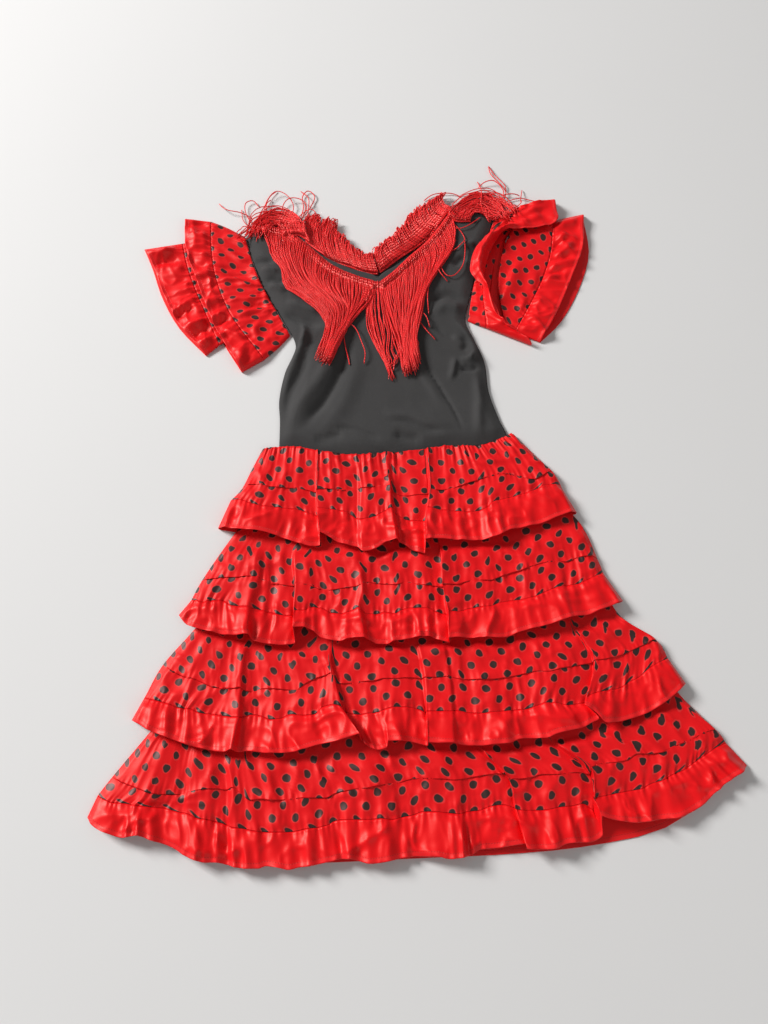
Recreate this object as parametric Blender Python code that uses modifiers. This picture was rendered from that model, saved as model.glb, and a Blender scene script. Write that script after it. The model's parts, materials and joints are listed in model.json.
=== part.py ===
"""A child's flamenco dress laid flat on its back, front up, neck towards +Y.

The bodice is a front and a back panel of black jersey. Each skirt tier and each sleeve tier is a
flattened tube in two pieces: a gathered dotted band and a plain satin ruffle on its lower edge. Every
tier's gathered top lies inside the tier above it, on both layers. The neck carries red fringe, each
stretch a narrow braid with its strands.
"""

import math
from collections import namedtuple

import bpy
import numpy as np
from mathutils import Vector
from mathutils.bvhtree import BVHTree

# Driving dimensions. Tables are in millimetres, in the dress's own plan: x to its left-hand side as
# worn, y towards the neck, measured from the middle of the waist's level.
MM = 0.001
LAID_CENTRE = Vector((-11.5, -3.0, 0.0)) * MM
WALL = 1.2
GAP = 0.4
WAIST_GAP = 1.1
ARMHOLE_GAP = 0.9
SIDE_TURN = 5.0
BRAID_WIDTH = 7.0
BRAID_HEIGHT = 2.0
STRAND_WIDTH = 1.9
STRAND_HEIGHT = 1.7
STRAND_LAYER = 2.1
STRAND_STEPS = (0.18, 0.45, 0.74, 1.0)
COLLECTION = "flamenco_dress"

SATIN_RED = (0.80, 0.012, 0.014)
DOTTED_RED = (0.72, 0.014, 0.016)
JERSEY_BLACK = (0.018, 0.019, 0.021)
FRINGE_RED = (0.74, 0.016, 0.018)

# A section across a tier: the y of its left fold, three places between, and its right fold. back is
# the height of the lower layer's underside, front that of the upper layer's, and fold how high the
# gathers rise there. drop is how far the lower layer reaches past the upper one.
Section = namedtuple(
    "Section",
    "left_x left_y quarter_y middle_y three_quarter_y right_x right_y back front fold drop",
)
Tier = namedtuple("Tier", "gather emerge tuck seam edge gathers waves seed")

SKIRT = {
    "tier1": Tier(
        gather=Section(-173, 2, -3, -4, 5, 109, 20, 0.0, 1.7, 0.9, 0),
        emerge=Section(-187, -22, -27, -28, -16, 140, -4, 0.0, 2.4, 4.2, 0),
        tuck=Section(-195, -46, -50, -51, -36, 157, -33, 0.0, 3.2, 3.2, 0),
        seam=Section(-201, -63, -73, -77, -73, 160, -42, 0.0, 6.0, 1.6, 0),
        edge=Section(-211, -98, -116, -110, -107, 176, -77, 0.0, 6.4, 6.0, -3),
        gathers=13,
        waves=8,
        seed=1,
    ),
    "tier2": Tier(
        gather=Section(-180, -74, -80, -84, -80, 150, -56, 1.8, 3.5, 0.4, 0),
        emerge=Section(-206, -113, -122, -117, -113, 181, -89, 1.8, 3.5, 0.8, 0),
        tuck=Section(-224, -149, -159, -156, -149, 193, -118, 0.0, 3.4, 3.6, 0),
        seam=Section(-232, -172, -186, -187, -178, 203, -144, 0.0, 6.0, 1.6, 0),
        edge=Section(-249, -188, -221, -213, -209, 215, -175, 0.0, 6.4, 7.0, -3),
        gathers=14,
        waves=9,
        seed=2,
    ),
    "tier3": Tier(
        gather=Section(-212, -180, -191, -192, -184, 192, -152, 1.8, 3.5, 0.4, 0),
        emerge=Section(-234, -209, -227, -219, -215, 222, -186, 1.8, 3.5, 0.8, 0),
        tuck=Section(-262, -247, -266, -256, -250, 245, -218, 0.0, 3.4, 4.0, 0),
        seam=Section(-276, -272, -290, -283, -281, 256, -237, 0.0, 6.0, 1.6, 0),
        edge=Section(-285, -295, -327, -318, -309, 270, -259, 0.0, 6.4, 8.0, -3),
        gathers=15,
        waves=10,
        seed=3,
    ),
    "tier4": Tier(
        gather=Section(-248, -284, -295, -288, -286, 243, -246, 1.8, 3.5, 0.4, 0),
        emerge=Section(-268, -308, -333, -324, -315, 273, -271, 1.8, 3.5, 0.8, 0),
        tuck=Section(-288, -335, -365, -349, -344, 290, -298, 0.0, 3.0, 4.6, 0),
        seam=Section(-302, -361, -400, -384, -372, 301, -318, 0.0, 3.0, 2.6, 0),
        edge=Section(-315, -386, -429, -415, -393, 315, -339, 0.0, 2.4, 8.5, 6),
        gathers=16,
        waves=12,
        seed=4,
    ),
}

# A section across a sleeve: five places from the shoulder fold to the underarm fold, as x and y.
Cuff = namedtuple(
    "Cuff",
    "shoulder_x shoulder_y quarter_x quarter_y middle_x middle_y "
    "three_quarter_x three_quarter_y underarm_x underarm_y back front fold drop",
)
SleeveTier = namedtuple("SleeveTier", "sections seam_at gathers waves seed mirrored")

SLEEVES = {
    "sleeve_left_tier1": SleeveTier(
        sections=(
            Cuff(-212, 303, -201, 267, -189, 234, -171, 198, -148, 155, 0.0, 1.7, 0.8, 0),
            Cuff(-236, 317, -228, 274, -217, 233, -196, 187, -163, 136, 0.0, 3.2, 3.4, 0),
            Cuff(-256, 325, -252, 280, -242, 232, -219, 178, -178, 120, 0.0, 6.0, 1.4, 0),
            Cuff(-289, 329, -284, 281, -264, 225, -237, 160, -203, 103, 0.0, 6.4, 7.0, 0),
        ),
        seam_at=2,
        gathers=7,
        waves=6,
        seed=5,
        mirrored=False,
    ),
    "sleeve_left_tier2": SleeveTier(
        sections=(
            Cuff(-259, 297, -257, 266, -247, 229, -229, 189, -209, 152, 1.8, 3.5, 0.3, 0),
            Cuff(-276, 294, -270, 261, -257, 225, -241, 187, -221, 146, 2.2, 3.8, 0.5, 0),
            Cuff(-290, 291, -281, 256, -268, 221, -252, 185, -232, 140, 2.2, 3.9, 0.6, 0),
            Cuff(-338, 283, -322, 252, -305, 210, -281, 166, -247, 126, 0.0, 2.4, 8.0, 3),
        ),
        seam_at=2,
        gathers=6,
        waves=6,
        seed=6,
        mirrored=False,
    ),
    "sleeve_right_tier1": SleeveTier(
        sections=(
            Cuff(105, 330, 95, 299, 84, 265, 73, 222, 65, 176, 0.0, 1.7, 0.6, 0),
            Cuff(130, 344, 109, 312, 94, 272, 84, 223, 84, 164, 0.0, 3.4, 1.6, 4),
            Cuff(153, 356, 122, 322, 101, 276, 91, 223, 101, 158, 0.0, 6.0, 0.8, 14),
            Cuff(184, 364, 138, 312, 84, 280, 74, 232, 112, 151, 0.0, 19.0, 3.0, 52),
        ),
        seam_at=2,
        gathers=4,
        waves=4,
        seed=7,
        mirrored=True,
    ),
    "sleeve_right_tier2": SleeveTier(
        sections=(
            Cuff(142, 336, 124, 305, 111, 268, 105, 220, 110, 172, 1.8, 3.5, 0.3, 0),
            Cuff(163, 332, 151, 290, 137, 250, 124, 206, 116, 165, 2.2, 3.8, 2.2, 0),
            Cuff(180, 327, 174, 279, 160, 235, 140, 193, 121, 158, 2.2, 4.0, 1.0, 0),
            Cuff(220, 339, 214, 285, 196, 237, 173, 184, 151, 145, 0.0, 3.2, 8.0, 14),
        ),
        seam_at=2,
        gathers=5,
        waves=6,
        seed=8,
        mirrored=True,
    ),
}

# A level of the bodice: its left edge, its neck edge on either side, and its right edge. Below the V
# both neck columns give the middle of the panel.
Level = namedtuple(
    "Level", "left_x left_y neck_left_x neck_left_y neck_right_x neck_right_y right_x right_y"
)
BELOW_THE_V = (
    Level(-154, 8, -28, -4, -28, -4, 105, 19),
    Level(-155, 38, -30, 38, -30, 38, 96, 40),
    Level(-157, 66, -32, 76, -32, 76, 86, 76),
    Level(-152, 102, -34, 114, -34, 114, 83, 116),
    Level(-141, 138, -37, 152, -37, 152, 72, 148),
    Level(-155, 171, -40, 192, -40, 192, 63, 176),
)
FRONT_V = (
    Level(-171, 199, -43, 234, -43, 234, 73, 221),
    Level(-181, 217, -78, 249, -14, 258, 79, 250),
    Level(-192, 243, -110, 267, 10, 281, 87, 278),
    Level(-202, 272, -132, 291, 30, 309, 96, 303),
    Level(-211, 301, -141, 328, 47, 348, 104, 328),
)
BACK_V = (
    Level(-171, 199, -54, 250, -54, 250, 73, 221),
    Level(-181, 217, -92, 265, -16, 274, 79, 250),
    Level(-192, 243, -116, 281, 4, 290, 87, 278),
    Level(-202, 272, -134, 300, 22, 312, 96, 303),
    Level(-211, 301, -143, 328, 40, 345, 104, 328),
)

# A crease in the front panel: from one end to the other, half its width, and its height.
Crease = namedtuple("Crease", "start_x start_y end_x end_y reach rise")
CREASES = (
    Crease(-136, 178, -146, 116, 13, 4.0),
    Crease(-100, 150, -132, 60, 11, 2.0),
    Crease(10, 128, 66, 44, 12, 3.2),
    Crease(40, 170, 62, 98, 9, 3.0),
    Crease(74, 96, 92, 36, 9, 3.4),
    Crease(-190, 262, -150, 206, 12, 3.0),
    Crease(-110, 22, -40, 14, 11, 2.0),
    Crease(-20, 30, 56, 34, 12, 2.2),
    Crease(64, 250, 40, 196, 11, 2.6),
)
PANEL_FULLNESS = 2.2
SLACK_REACH = 27.0

# A stretch of fringe: the braid's line, the line that its strand ends lie on, in the same order, how
# many strands there are, and how far they bow to the side on the way.
Fringe = namedtuple("Fringe", "braid ends strands bow")
FRINGES = {
    "fringe_front_left": Fringe(
        braid=((-178, 294), (-155, 303), (-134, 287), (-110, 262), (-78, 243), (-47, 229)),
        ends=(
            (-182, 276), (-170, 252), (-158, 222), (-136, 206), (-116, 188), (-113, 150), (-112, 122),
            (-103, 114), (-90, 134), (-78, 152), (-64, 172), (-52, 196),
        ),
        strands=34,
        bow=9.0,
    ),
    "fringe_front_right": Fringe(
        braid=((-40, 229), (-13, 252), (11, 275), (29, 299), (42, 323)),
        ends=(
            (-46, 170), (-38, 124), (-29, 96), (-14, 104), (-8, 99), (3, 112), (6, 136), (9, 156),
            (18, 186), (27, 216), (36, 246), (48, 276), (58, 300),
        ),
        strands=32,
        bow=-8.0,
    ),
    "fringe_back_left": Fringe(
        braid=((-62, 257), (-92, 271), (-115, 287), (-131, 306), (-137, 324)),
        ends=(
            (-64, 273), (-76, 281), (-85, 296), (-97, 300), (-104, 313), (-104, 334), (-117, 336),
            (-126, 346),
        ),
        strands=20,
        bow=5.0,
    ),
    "fringe_back_right": Fringe(
        braid=((36, 343), (17, 317), (0, 297), (-18, 281), (-47, 258)),
        ends=((42, 368), (34, 362), (20, 346), (2, 334), (-8, 316), (-22, 302), (-34, 290), (-47, 282)),
        strands=22,
        bow=5.0,
    ),
    "fringe_shoulder_left": Fringe(
        braid=((-146, 324), (-168, 316), (-190, 307), (-206, 300)),
        ends=(
            (-128, 360), (-146, 372), (-160, 388), (-176, 372), (-192, 380), (-206, 366), (-222, 372),
            (-246, 352),
        ),
        strands=13,
        bow=9.0,
    ),
    "fringe_shoulder_right": Fringe(
        braid=((102, 326), (86, 332), (70, 338), (55, 343)),
        ends=(
            (160, 372), (142, 392), (112, 382), (101, 430), (84, 402), (66, 388), (54, 386), (36, 390),
        ),
        strands=13,
        bow=-8.0,
    ),
}


def remove_everything():
    for old in list(bpy.data.objects):
        bpy.data.objects.remove(old)


def new_material(name, colour, roughness):
    """A cloth of one colour, without any metal in it."""
    material = bpy.data.materials.new(name)
    material.use_nodes = True
    shader = material.node_tree.nodes["Principled BSDF"]
    shader.inputs["Base Color"].default_value = (*colour, 1.0)
    shader.inputs["Roughness"].default_value = roughness
    shader.inputs["Metallic"].default_value = 0.0
    return material


def new_object(name, points, faces, colour, roughness):
    """An object in the dress's collection, from points in millimetres."""
    mesh = bpy.data.meshes.new(name)
    mesh.from_pydata((np.asarray(points) * MM).tolist(), [], faces)
    mesh.update()
    mesh.shade_smooth()
    made = bpy.data.objects.new(name, mesh)
    made.location = -LAID_CENTRE
    made.data.materials.append(new_material(name, colour, roughness))
    bpy.data.collections[COLLECTION].objects.link(made)
    return made


def give_wall(made):
    """Thickens an open sheet inwards, away from the side that its faces look to."""
    solidify = made.modifiers.new("wall", "SOLIDIFY")
    solidify.thickness = WALL * MM
    solidify.offset = -1.0
    solidify.use_rim = True


def smooth_through(points, at):
    """A smooth curve through evenly spaced points, read at places from 0 to 1."""
    points = np.asarray(points, float)
    last = len(points) - 1
    place = np.clip(np.asarray(at, float), 0.0, 1.0) * last
    index = np.minimum(place.astype(int), last - 1)
    t = (place - index)[:, None]
    padded = np.vstack([2 * points[0] - points[1], points, 2 * points[-1] - points[-2]])
    before, start, end, after = (padded[index + i] for i in range(4))
    return 0.5 * (
        2 * start
        + (end - before) * t
        + (2 * before - 5 * start + 4 * end - after) * t**2
        + (3 * start - before - 3 * end + after) * t**3
    )


def gathered(at, count, seed):
    """Height of uneven gathers from 0 to 1: a cosine whose pace and strength both wander."""
    pace = count * at
    pace = pace + 0.24 * np.sin(math.tau * (1.3 * at + 0.17 * seed))
    pace = pace + 0.10 * np.sin(math.tau * (3.1 * at + 0.29 * seed))
    strength = 0.72 + 0.28 * np.sin(math.tau * (2.3 * at + 0.41 * seed))
    return strength * (0.5 - 0.5 * np.cos(math.tau * pace))


def across(count, width):
    """Places across a layer: both folds, one column just inside each, and even steps between."""
    turn = SIDE_TURN / width
    return np.concatenate([[0.0], np.linspace(turn, 1.0 - turn, count - 2), [1.0]])


def section_line(section):
    """The five points of a section across a skirt tier or a sleeve."""
    if isinstance(section, Section):
        levels = section[1:5] + (section.right_y,)
        return np.column_stack([np.linspace(section.left_x, section.right_x, 5), levels])
    return np.array(section[:10], float).reshape(5, 2)


def blend_sections(first, second, share, puff=1.0):
    """A section between two others, with its folds raised by puff."""
    mixed = [a + (b - a) * share for a, b in zip(first, second)]
    made = type(first)(*mixed)
    return made._replace(fold=made.fold * puff)


def heading(first, last):
    """The direction from each place of one section to that place of another."""
    run = section_line(last) - section_line(first)
    return run / np.linalg.norm(run, axis=1)[:, None]


def tube(name, sections, outward, columns, under_columns, counts, seed, mirrored, colour, roughness):
    """A flattened tube through its sections: gathered upper layer, plain lower layer, turned sides.

    counts holds the number of folds at the first and at the last section.
    """
    rings = []
    for row, section in enumerate(sections):
        line = section_line(section)
        width = np.linalg.norm(np.diff(line, axis=0), axis=1).sum()
        over = across(columns, width)
        under = across(under_columns, width)[::-1][1:-1]
        top = smooth_through(line, over)
        beneath = smooth_through(line, under)
        beneath = beneath + smooth_through(outward, under) * (
            section.drop * np.sin(math.pi * under)[:, None]
        )
        share = row / (len(sections) - 1)
        rise = (1 - share) * gathered(over, counts[0], seed) + share * gathered(over, counts[1], seed)
        height = section.front + WALL + section.fold * rise
        height[[0, -1]] = 0.5 * (section.back + section.front + WALL)
        rings.append(
            np.vstack(
                [
                    np.column_stack([top, height]),
                    np.column_stack([beneath, np.full(len(under), section.back)]),
                ]
            )
        )
    around = len(rings[0])
    faces = []
    for row in range(len(rings) - 1):
        for column in range(around):
            after = (column + 1) % around
            quad = [
                row * around + column,
                (row + 1) * around + column,
                (row + 1) * around + after,
                row * around + after,
            ]
            faces.append(quad[::-1] if mirrored else quad)
    made = new_object(name, np.vstack(rings), faces, colour, roughness)
    give_wall(made)
    return made


def parted(section, towards, gap=GAP):
    """The section moved towards another by the gap between sewn pieces."""
    span = np.linalg.norm(section_line(towards) - section_line(section), axis=1).min()
    moved = blend_sections(section, towards, gap / span)
    return moved._replace(back=section.back, front=section.front, fold=section.fold)


def skirt_tier(name, tier):
    """A tier's dotted band, with the tuck half-way down it, and its plain ruffle."""
    swell = blend_sections(tier.emerge, tier.tuck, 0.55, puff=1.5)
    under_tuck = blend_sections(tier.tuck, tier.seam, 0.16)
    lip = tier.tuck._replace(front=tier.tuck.front + 1.4)
    band = (tier.gather, tier.emerge, swell, lip, under_tuck, tier.seam)
    outward = heading(tier.gather, tier.edge)
    counts = (tier.gathers, tier.gathers)
    beneath = 14 if tier.edge.drop > 0 else 8
    tube(f"skirt_{name}_band", band, outward, 40, beneath, counts, tier.seed, False, DOTTED_RED, 0.5)
    start = parted(tier.seam, tier.edge)
    middle = blend_sections(start, tier.edge, 0.5)
    counts = (tier.gathers, tier.waves)
    ruffle = (start, middle, tier.edge)
    tube(f"skirt_{name}_ruffle", ruffle, outward, 46, beneath, counts, tier.seed, False, SATIN_RED, 0.35)


def sleeve_tier(name, tier):
    """A sleeve tier's dotted band and its plain ruffle."""
    band = list(tier.sections[: tier.seam_at + 1])
    if name.endswith("tier1"):
        band[0] = parted(band[0], band[1], ARMHOLE_GAP)
    outward = heading(band[0], band[-1])
    counts = (tier.gathers, tier.gathers)
    tube(f"{name}_band", band, outward, 22, 6, counts, tier.seed, tier.mirrored, DOTTED_RED, 0.5)
    start = parted(tier.sections[tier.seam_at], tier.sections[-1])
    middle = blend_sections(start, tier.sections[-1], 0.5)
    ruffle = (start, middle, tier.sections[-1])
    counts = (tier.gathers, tier.waves)
    tube(f"{name}_ruffle", ruffle, outward, 26, 6, counts, tier.seed, tier.mirrored, SATIN_RED, 0.35)


def crease_height(x, y):
    """Height of the front panel's creases: a soft ridge along each, fading towards its ends."""
    height = np.zeros_like(x)
    for crease in CREASES:
        start = np.array([crease.start_x, crease.start_y], float)
        run = np.array([crease.end_x, crease.end_y], float) - start
        length = np.linalg.norm(run)
        run = run / length
        along = (x - start[0]) * run[0] + (y - start[1]) * run[1]
        aside = (x - start[0]) * run[1] - (y - start[1]) * run[0]
        fade = np.exp(-(((along - 0.5 * length) / (0.5 * length)) ** 4))
        height = height + crease.rise * fade * np.exp(-((aside / crease.reach) ** 2))
    return height


def waist_level(x):
    """The y of the skirt's gathered top at x, from its own section."""
    line = section_line(SKIRT["tier1"].gather)
    places = (x - line[0, 0]) / (line[-1, 0] - line[0, 0])
    return smooth_through(line, places)[:, 1]


def panel(name, levels, rows, columns, underside):
    """A bodice panel: its two halves are lofted from the outer edge to the middle and the neck edge."""
    table = np.array(levels, float)
    places = np.linspace(0.0, 1.0, rows)
    edge_left, neck_left, neck_right, edge_right = (
        smooth_through(table[:, i : i + 2], places) for i in (0, 2, 4, 6)
    )
    steps = np.linspace(0.0, 1.0, columns)[None, :, None]
    left = edge_left[:, None] + (neck_left - edge_left)[:, None] * steps
    right = neck_right[:, None] + (edge_right - neck_right)[:, None] * steps
    apex = sum(a.neck_left_x == a.neck_right_x for a in levels) - 1
    apex_row = round(apex * (rows - 1) / (len(levels) - 1))
    faces = []
    index_left = np.arange(rows * columns).reshape(rows, columns)
    index_right = index_left + rows * columns
    index_right[: apex_row + 1, 0] = index_left[: apex_row + 1, -1]
    flat = np.concatenate([left.reshape(-1, 2), right.reshape(-1, 2)])
    lowest = np.isin(np.arange(len(flat)), np.concatenate([index_left[0], index_right[0]]))
    flat[lowest, 1] = waist_level(flat[lowest, 0]) + WAIST_GAP
    points = np.column_stack([flat, underside(flat[:, 0], flat[:, 1]) + WALL])
    for index in (index_left, index_right):
        for row in range(rows - 1):
            for column in range(columns - 1):
                faces.append(
                    [
                        int(index[row, column]),
                        int(index[row, column + 1]),
                        int(index[row + 1, column + 1]),
                        int(index[row + 1, column]),
                    ]
                )
    used = np.unique(np.array(faces))
    renumber = {int(old): new for new, old in enumerate(used)}
    faces = [[renumber[corner] for corner in face] for face in faces]
    made = new_object(name, points[used], faces, JERSEY_BLACK, 0.75)
    give_wall(made)
    return made


def front_underside(x, y):
    """The front panel's lower face: a gap above the back panel, a little slack, and the creases."""
    levels = BELOW_THE_V + FRONT_V
    left = np.interp(y, [a.left_y for a in levels], [a.left_x for a in levels])
    right = np.interp(y, [a.right_y for a in levels], [a.right_x for a in levels])
    from_edge = np.clip(np.minimum(x - left, right - x) / SLACK_REACH, 0.0, 1.0)
    from_waist = np.clip((y - waist_level(x)) / SLACK_REACH, 0.0, 1.0)
    return WALL + GAP + from_edge * from_waist * (PANEL_FULLNESS + crease_height(x, y))


def back_underside(x, y):
    """The back panel lies flat."""
    return np.zeros_like(x + y)


def surface_below(objects):
    """A function that gives the height of the highest of these objects at a place, or the floor's."""
    graph = bpy.context.evaluated_depsgraph_get()
    trees = [BVHTree.FromObject(made, graph) for made in objects]
    down = Vector((0.0, 0.0, -1.0))

    def height(x, y):
        origin = Vector((x, y, 100.0)) * MM
        hits = (tree.ray_cast(origin, down)[0] for tree in trees)
        return max([hit.z / MM for hit in hits if hit is not None] + [0.0])

    return height


def highest(height, place, reach):
    """The highest that the carriers stand at a place and round it."""
    spots = [(0.0, 0.0)]
    for turn in np.arange(8) * math.tau / 8:
        for share in (0.5, 1.0):
            spots.append((math.cos(turn) * reach * share, math.sin(turn) * reach * share))
    return max(height(place[0] + dx, place[1] + dy) for dx, dy in spots)


def fringe(name, stretch, height):
    """A braid with strands out of its side: each strand starts as one cell of the braid's side wall."""
    cells = stretch.strands
    stations = smooth_through(stretch.braid, np.linspace(0, 1, cells + 1))
    ends = smooth_through(stretch.ends, np.linspace(0, 1, cells))
    along = np.gradient(stations, axis=0)
    along = along / np.linalg.norm(along, axis=1)[:, None]
    side = np.column_stack([along[:, 1], -along[:, 0]])
    towards = ends.mean(axis=0) - stations.mean(axis=0)
    handed = 1.0 if (side.mean(axis=0) @ towards) > 0 else -1.0
    side = side * handed
    points, faces = [], []
    for place, out in zip(stations, side):
        near = place - out * 0.5 * BRAID_WIDTH
        far = place + out * 0.5 * BRAID_WIDTH
        base = highest(height, place, 0.5 * BRAID_WIDTH + 1.5) + GAP
        points += [(*near, base), (*near, base + BRAID_HEIGHT), (*far, base + BRAID_HEIGHT), (*far, base)]

    def face(corners):
        faces.append(corners[::-1] if handed > 0 else corners)

    for cell in range(cells):
        a, b = 4 * cell, 4 * cell + 4
        face([a, b, b + 1, a + 1])
        face([a + 1, b + 1, b + 2, a + 2])
        face([a + 3, b + 3, b, a])
    last = 4 * cells
    face([0, 1, 2, 3])
    face([last + 3, last + 2, last + 1, last])
    for cell in range(cells):
        far = 4 * cell
        ring = [far + 2, far + 6, far + 7, far + 3]
        root = np.array([points[i][:2] for i in ring]).mean(axis=0)
        out = 0.5 * (side[cell] + side[cell + 1])
        span = ends[cell] - root
        length = np.linalg.norm(span)
        lean = root + out * 0.45 * length
        bowed = np.array([-span[1], span[0]]) / length * stretch.bow
        knee = 0.5 * lean + 0.5 * (root + 0.6 * span) + bowed
        path = [(1 - t) ** 2 * root + 2 * t * (1 - t) * knee + t**2 * ends[cell] for t in STRAND_STEPS]
        run = np.gradient(np.vstack([root, path]), axis=0)[1:]
        for i, place in enumerate(path):
            across_it = handed * np.array([-run[i][1], run[i][0]]) / np.linalg.norm(run[i])
            half = 0.5 * STRAND_WIDTH * across_it
            behind = path[i - 1] if i else root
            ahead = path[min(i + 1, len(path) - 1)]
            reach = [place + (end - place) * share for end in (behind, ahead) for share in (0, 0.35, 0.7, 1)]
            lowest = max(highest(height, spot, STRAND_WIDTH) for spot in reach)
            base = lowest + GAP + (cell % 3) * STRAND_LAYER
            first = len(points)
            points += [
                (*(place - half), base + STRAND_HEIGHT),
                (*(place + half), base + STRAND_HEIGHT),
                (*(place + half), base),
                (*(place - half), base),
            ]
            new_ring = [first, first + 1, first + 2, first + 3]
            for c in range(4):
                d = (c + 1) % 4
                face([ring[c], ring[d], new_ring[d], new_ring[c]])
            ring = new_ring
        face(ring)
    return new_object(name, points, faces, FRINGE_RED, 0.6)


def build():
    remove_everything()
    collection = bpy.data.collections.new(COLLECTION)
    bpy.context.scene.collection.children.link(collection)
    panel("bodice_back", BELOW_THE_V + BACK_V, 11, 9, back_underside)
    panel("bodice_front", BELOW_THE_V + FRONT_V, 21, 8, front_underside)
    for name, tier in SKIRT.items():
        skirt_tier(name, tier)
    for name, tier in SLEEVES.items():
        sleeve_tier(name, tier)
    bpy.context.view_layer.update()
    carriers = [made for made in collection.objects if made.name.startswith(("bodice", "sleeve"))]
    height = surface_below(carriers)
    for name, stretch in FRINGES.items():
        fringe(name, stretch, height)


build()
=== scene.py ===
"""Looks of a child's flamenco dress laid flat on its back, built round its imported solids.

Plan tables are in millimetres, x to the right of the picture and y towards the neck, measured from the
middle of the waist's level. The frame adds PLAN_OFFSET to them.
"""

import json
import math
from collections import namedtuple

import bmesh
import bpy
import numpy as np
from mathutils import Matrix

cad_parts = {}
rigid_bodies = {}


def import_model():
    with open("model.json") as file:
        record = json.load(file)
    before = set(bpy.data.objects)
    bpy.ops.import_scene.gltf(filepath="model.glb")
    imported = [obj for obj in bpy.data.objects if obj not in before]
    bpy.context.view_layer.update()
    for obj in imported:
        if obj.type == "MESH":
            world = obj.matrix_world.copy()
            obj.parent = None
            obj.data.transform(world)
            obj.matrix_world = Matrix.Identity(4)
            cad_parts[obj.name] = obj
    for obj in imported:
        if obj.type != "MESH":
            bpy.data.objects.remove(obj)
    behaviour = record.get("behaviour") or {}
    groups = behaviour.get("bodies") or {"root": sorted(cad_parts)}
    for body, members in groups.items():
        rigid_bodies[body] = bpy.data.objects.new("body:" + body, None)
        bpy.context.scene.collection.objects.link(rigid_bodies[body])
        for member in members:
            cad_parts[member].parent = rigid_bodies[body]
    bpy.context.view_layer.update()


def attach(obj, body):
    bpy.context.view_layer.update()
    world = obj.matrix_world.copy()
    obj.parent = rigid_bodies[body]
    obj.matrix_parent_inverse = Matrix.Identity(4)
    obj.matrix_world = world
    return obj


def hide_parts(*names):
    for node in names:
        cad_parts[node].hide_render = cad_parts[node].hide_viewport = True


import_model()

bl_info = {
    "name": "Flamenco dress",
    "version": (1, 0, 0),
    "blender": (4, 5, 0),
    "location": "3D View > Sidebar > Dress",
    "description": "A gathered and dotted dress laid flat, dressed round its packed solids",
    "category": "Object",
}

MM = 0.001
PLAN_OFFSET = np.array([11.5, 3.0, 0.0])

# Tubes of cloth: the width over which a side turns from one layer to the other, the room for the wall, the
# least height over the fold, the lower layer's distance from the fold, the width of a column of faces, and
# the distance over which relief grows from a seam or a side.
SIDE_TURN = 5.0
WALL_ROOM = 1.2
LEAST_RISE = 0.5
FOLD_ROOM = 2.0
COLUMN_STEP = 1.32
RELIEF_FADE = 9.0
# Distances between rows of faces, and rows that stand close together, at a band's tuck and seam and at a
# ruffle's hem.
SKIRT_ROW, SLEEVE_ROW, RUFFLE_ROW = 2.5, 2.0, 1.8
TUCK_ROWS = (1.97, 2.0, 2.012, 2.03, 2.9, 2.97)
HEM_ROWS = (0.97, 0.985)
# Gaps between a band and its ruffle, between a sleeve and its armhole, and between the waist's level and
# the bodice's lower edge.
SEAM_GAP = 0.2
ARMHOLE_GAP = 0.9
WAIST_GAP = 0.9
# The cloth folded away behind a tuck, and how far its lip hangs over the cloth below and rises.
TUCK_HIDDEN = 9.0
TUCK_OVERHANG = 1.3
LIP_RISE = 1.3
# Shares: the lift of the listed folds, how far the pattern follows each row's own width, where down a
# piece its width is measured, and the relief left to a sleeve's band that is mostly hidden.
FOLD_LIFT = 1.7
ROW_SHARE = 0.6
WIDTH_ROW = 0.62
HIDDEN_RELIEF = 0.35
# Sizes of gathers, each with its height, its pitch and its reach from the seam.
BAND_GATHERS = ((1.3, 6.4, 18.0), (2.3, 11.5, 38.0), (2.0, 24.0, 90.0))
SLEEVE_GATHERS = ((1.0, 6.5, 16.0), (1.4, 14.0, 40.0))
SEAM_GATHERS = ((1.5, 6.5, 7.0), (2.1, 14.0, 20.0))
TUCK_GATHERS = ((1.0, 7.0, 7.0),)
# Crumples of a cloth, with their height and size, and waves along a ruffle, with their height and pitch on
# the sleeves and their pitch on the skirt, where each tier has its own height.
BAND_CRUMPLES = (2.0, 22.0)
RUFFLE_CRUMPLES = (3.3, 22.0)
SLEEVE_CRUMPLES = (2.0, 24.0)
JERSEY_CRUMPLES = (0.9, 46.0)
SLEEVE_WAVE, SLEEVE_WAVE_PITCH = 3.2, 24.0
SKIRT_WAVE_PITCH = 17.0
HEM_RISE, HEM_WIDTH = 0.55, 1.1
# The front panel's gap over the back one, its fullness and how far from its edges this grows, the lift of
# its creases, and the jersey's thickness as a share of the satin's.
PANEL_GAP = 1.6
PANEL_FULLNESS = 5.0
SLACK_REACH = 16.0
CREASE_LIFT = 1.5
JERSEY_WALL = 1.2
# Fringe: the points along a strand and along a loose one, the sides of a cord, the room under it, and the
# pitch and the radius of the braid's plies.
STRAND_POINTS = 24
STRAY_POINTS = 34
CORD_SIDES = 5
CORD_ROOM = 0.4
PLAIT_PITCH = 9.0
PLY_RADIUS = 0.9
# The header: the rise of a strand over its edge and its dip under the stitches, each with its height, its
# distance from the root and its width, then the rises of neighbouring strands and how far these reach.
HEADER_HUMPS = ((1.8, 4.0, 3.2), (-1.2, 9.0, 2.0))
HEADER_RIDGES = np.array([1.9, 0.8, 0.0, 0.8])
HEADER_REACH = 7.5
# A looped strand: its height, how far its end sinks, and how far it comes back beside itself.
LOOP_RISE, LOOP_DROP, LOOP_TURN = 6.5, 1.5, 2.6
# The plan under the fringe: its left lower corner, its size and the size of its cells.
GROUND_LOW = np.array([-360.0, -450.0])
GROUND_SIZE = np.array([720.0, 900.0])
GROUND_CELL = 1.5
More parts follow.
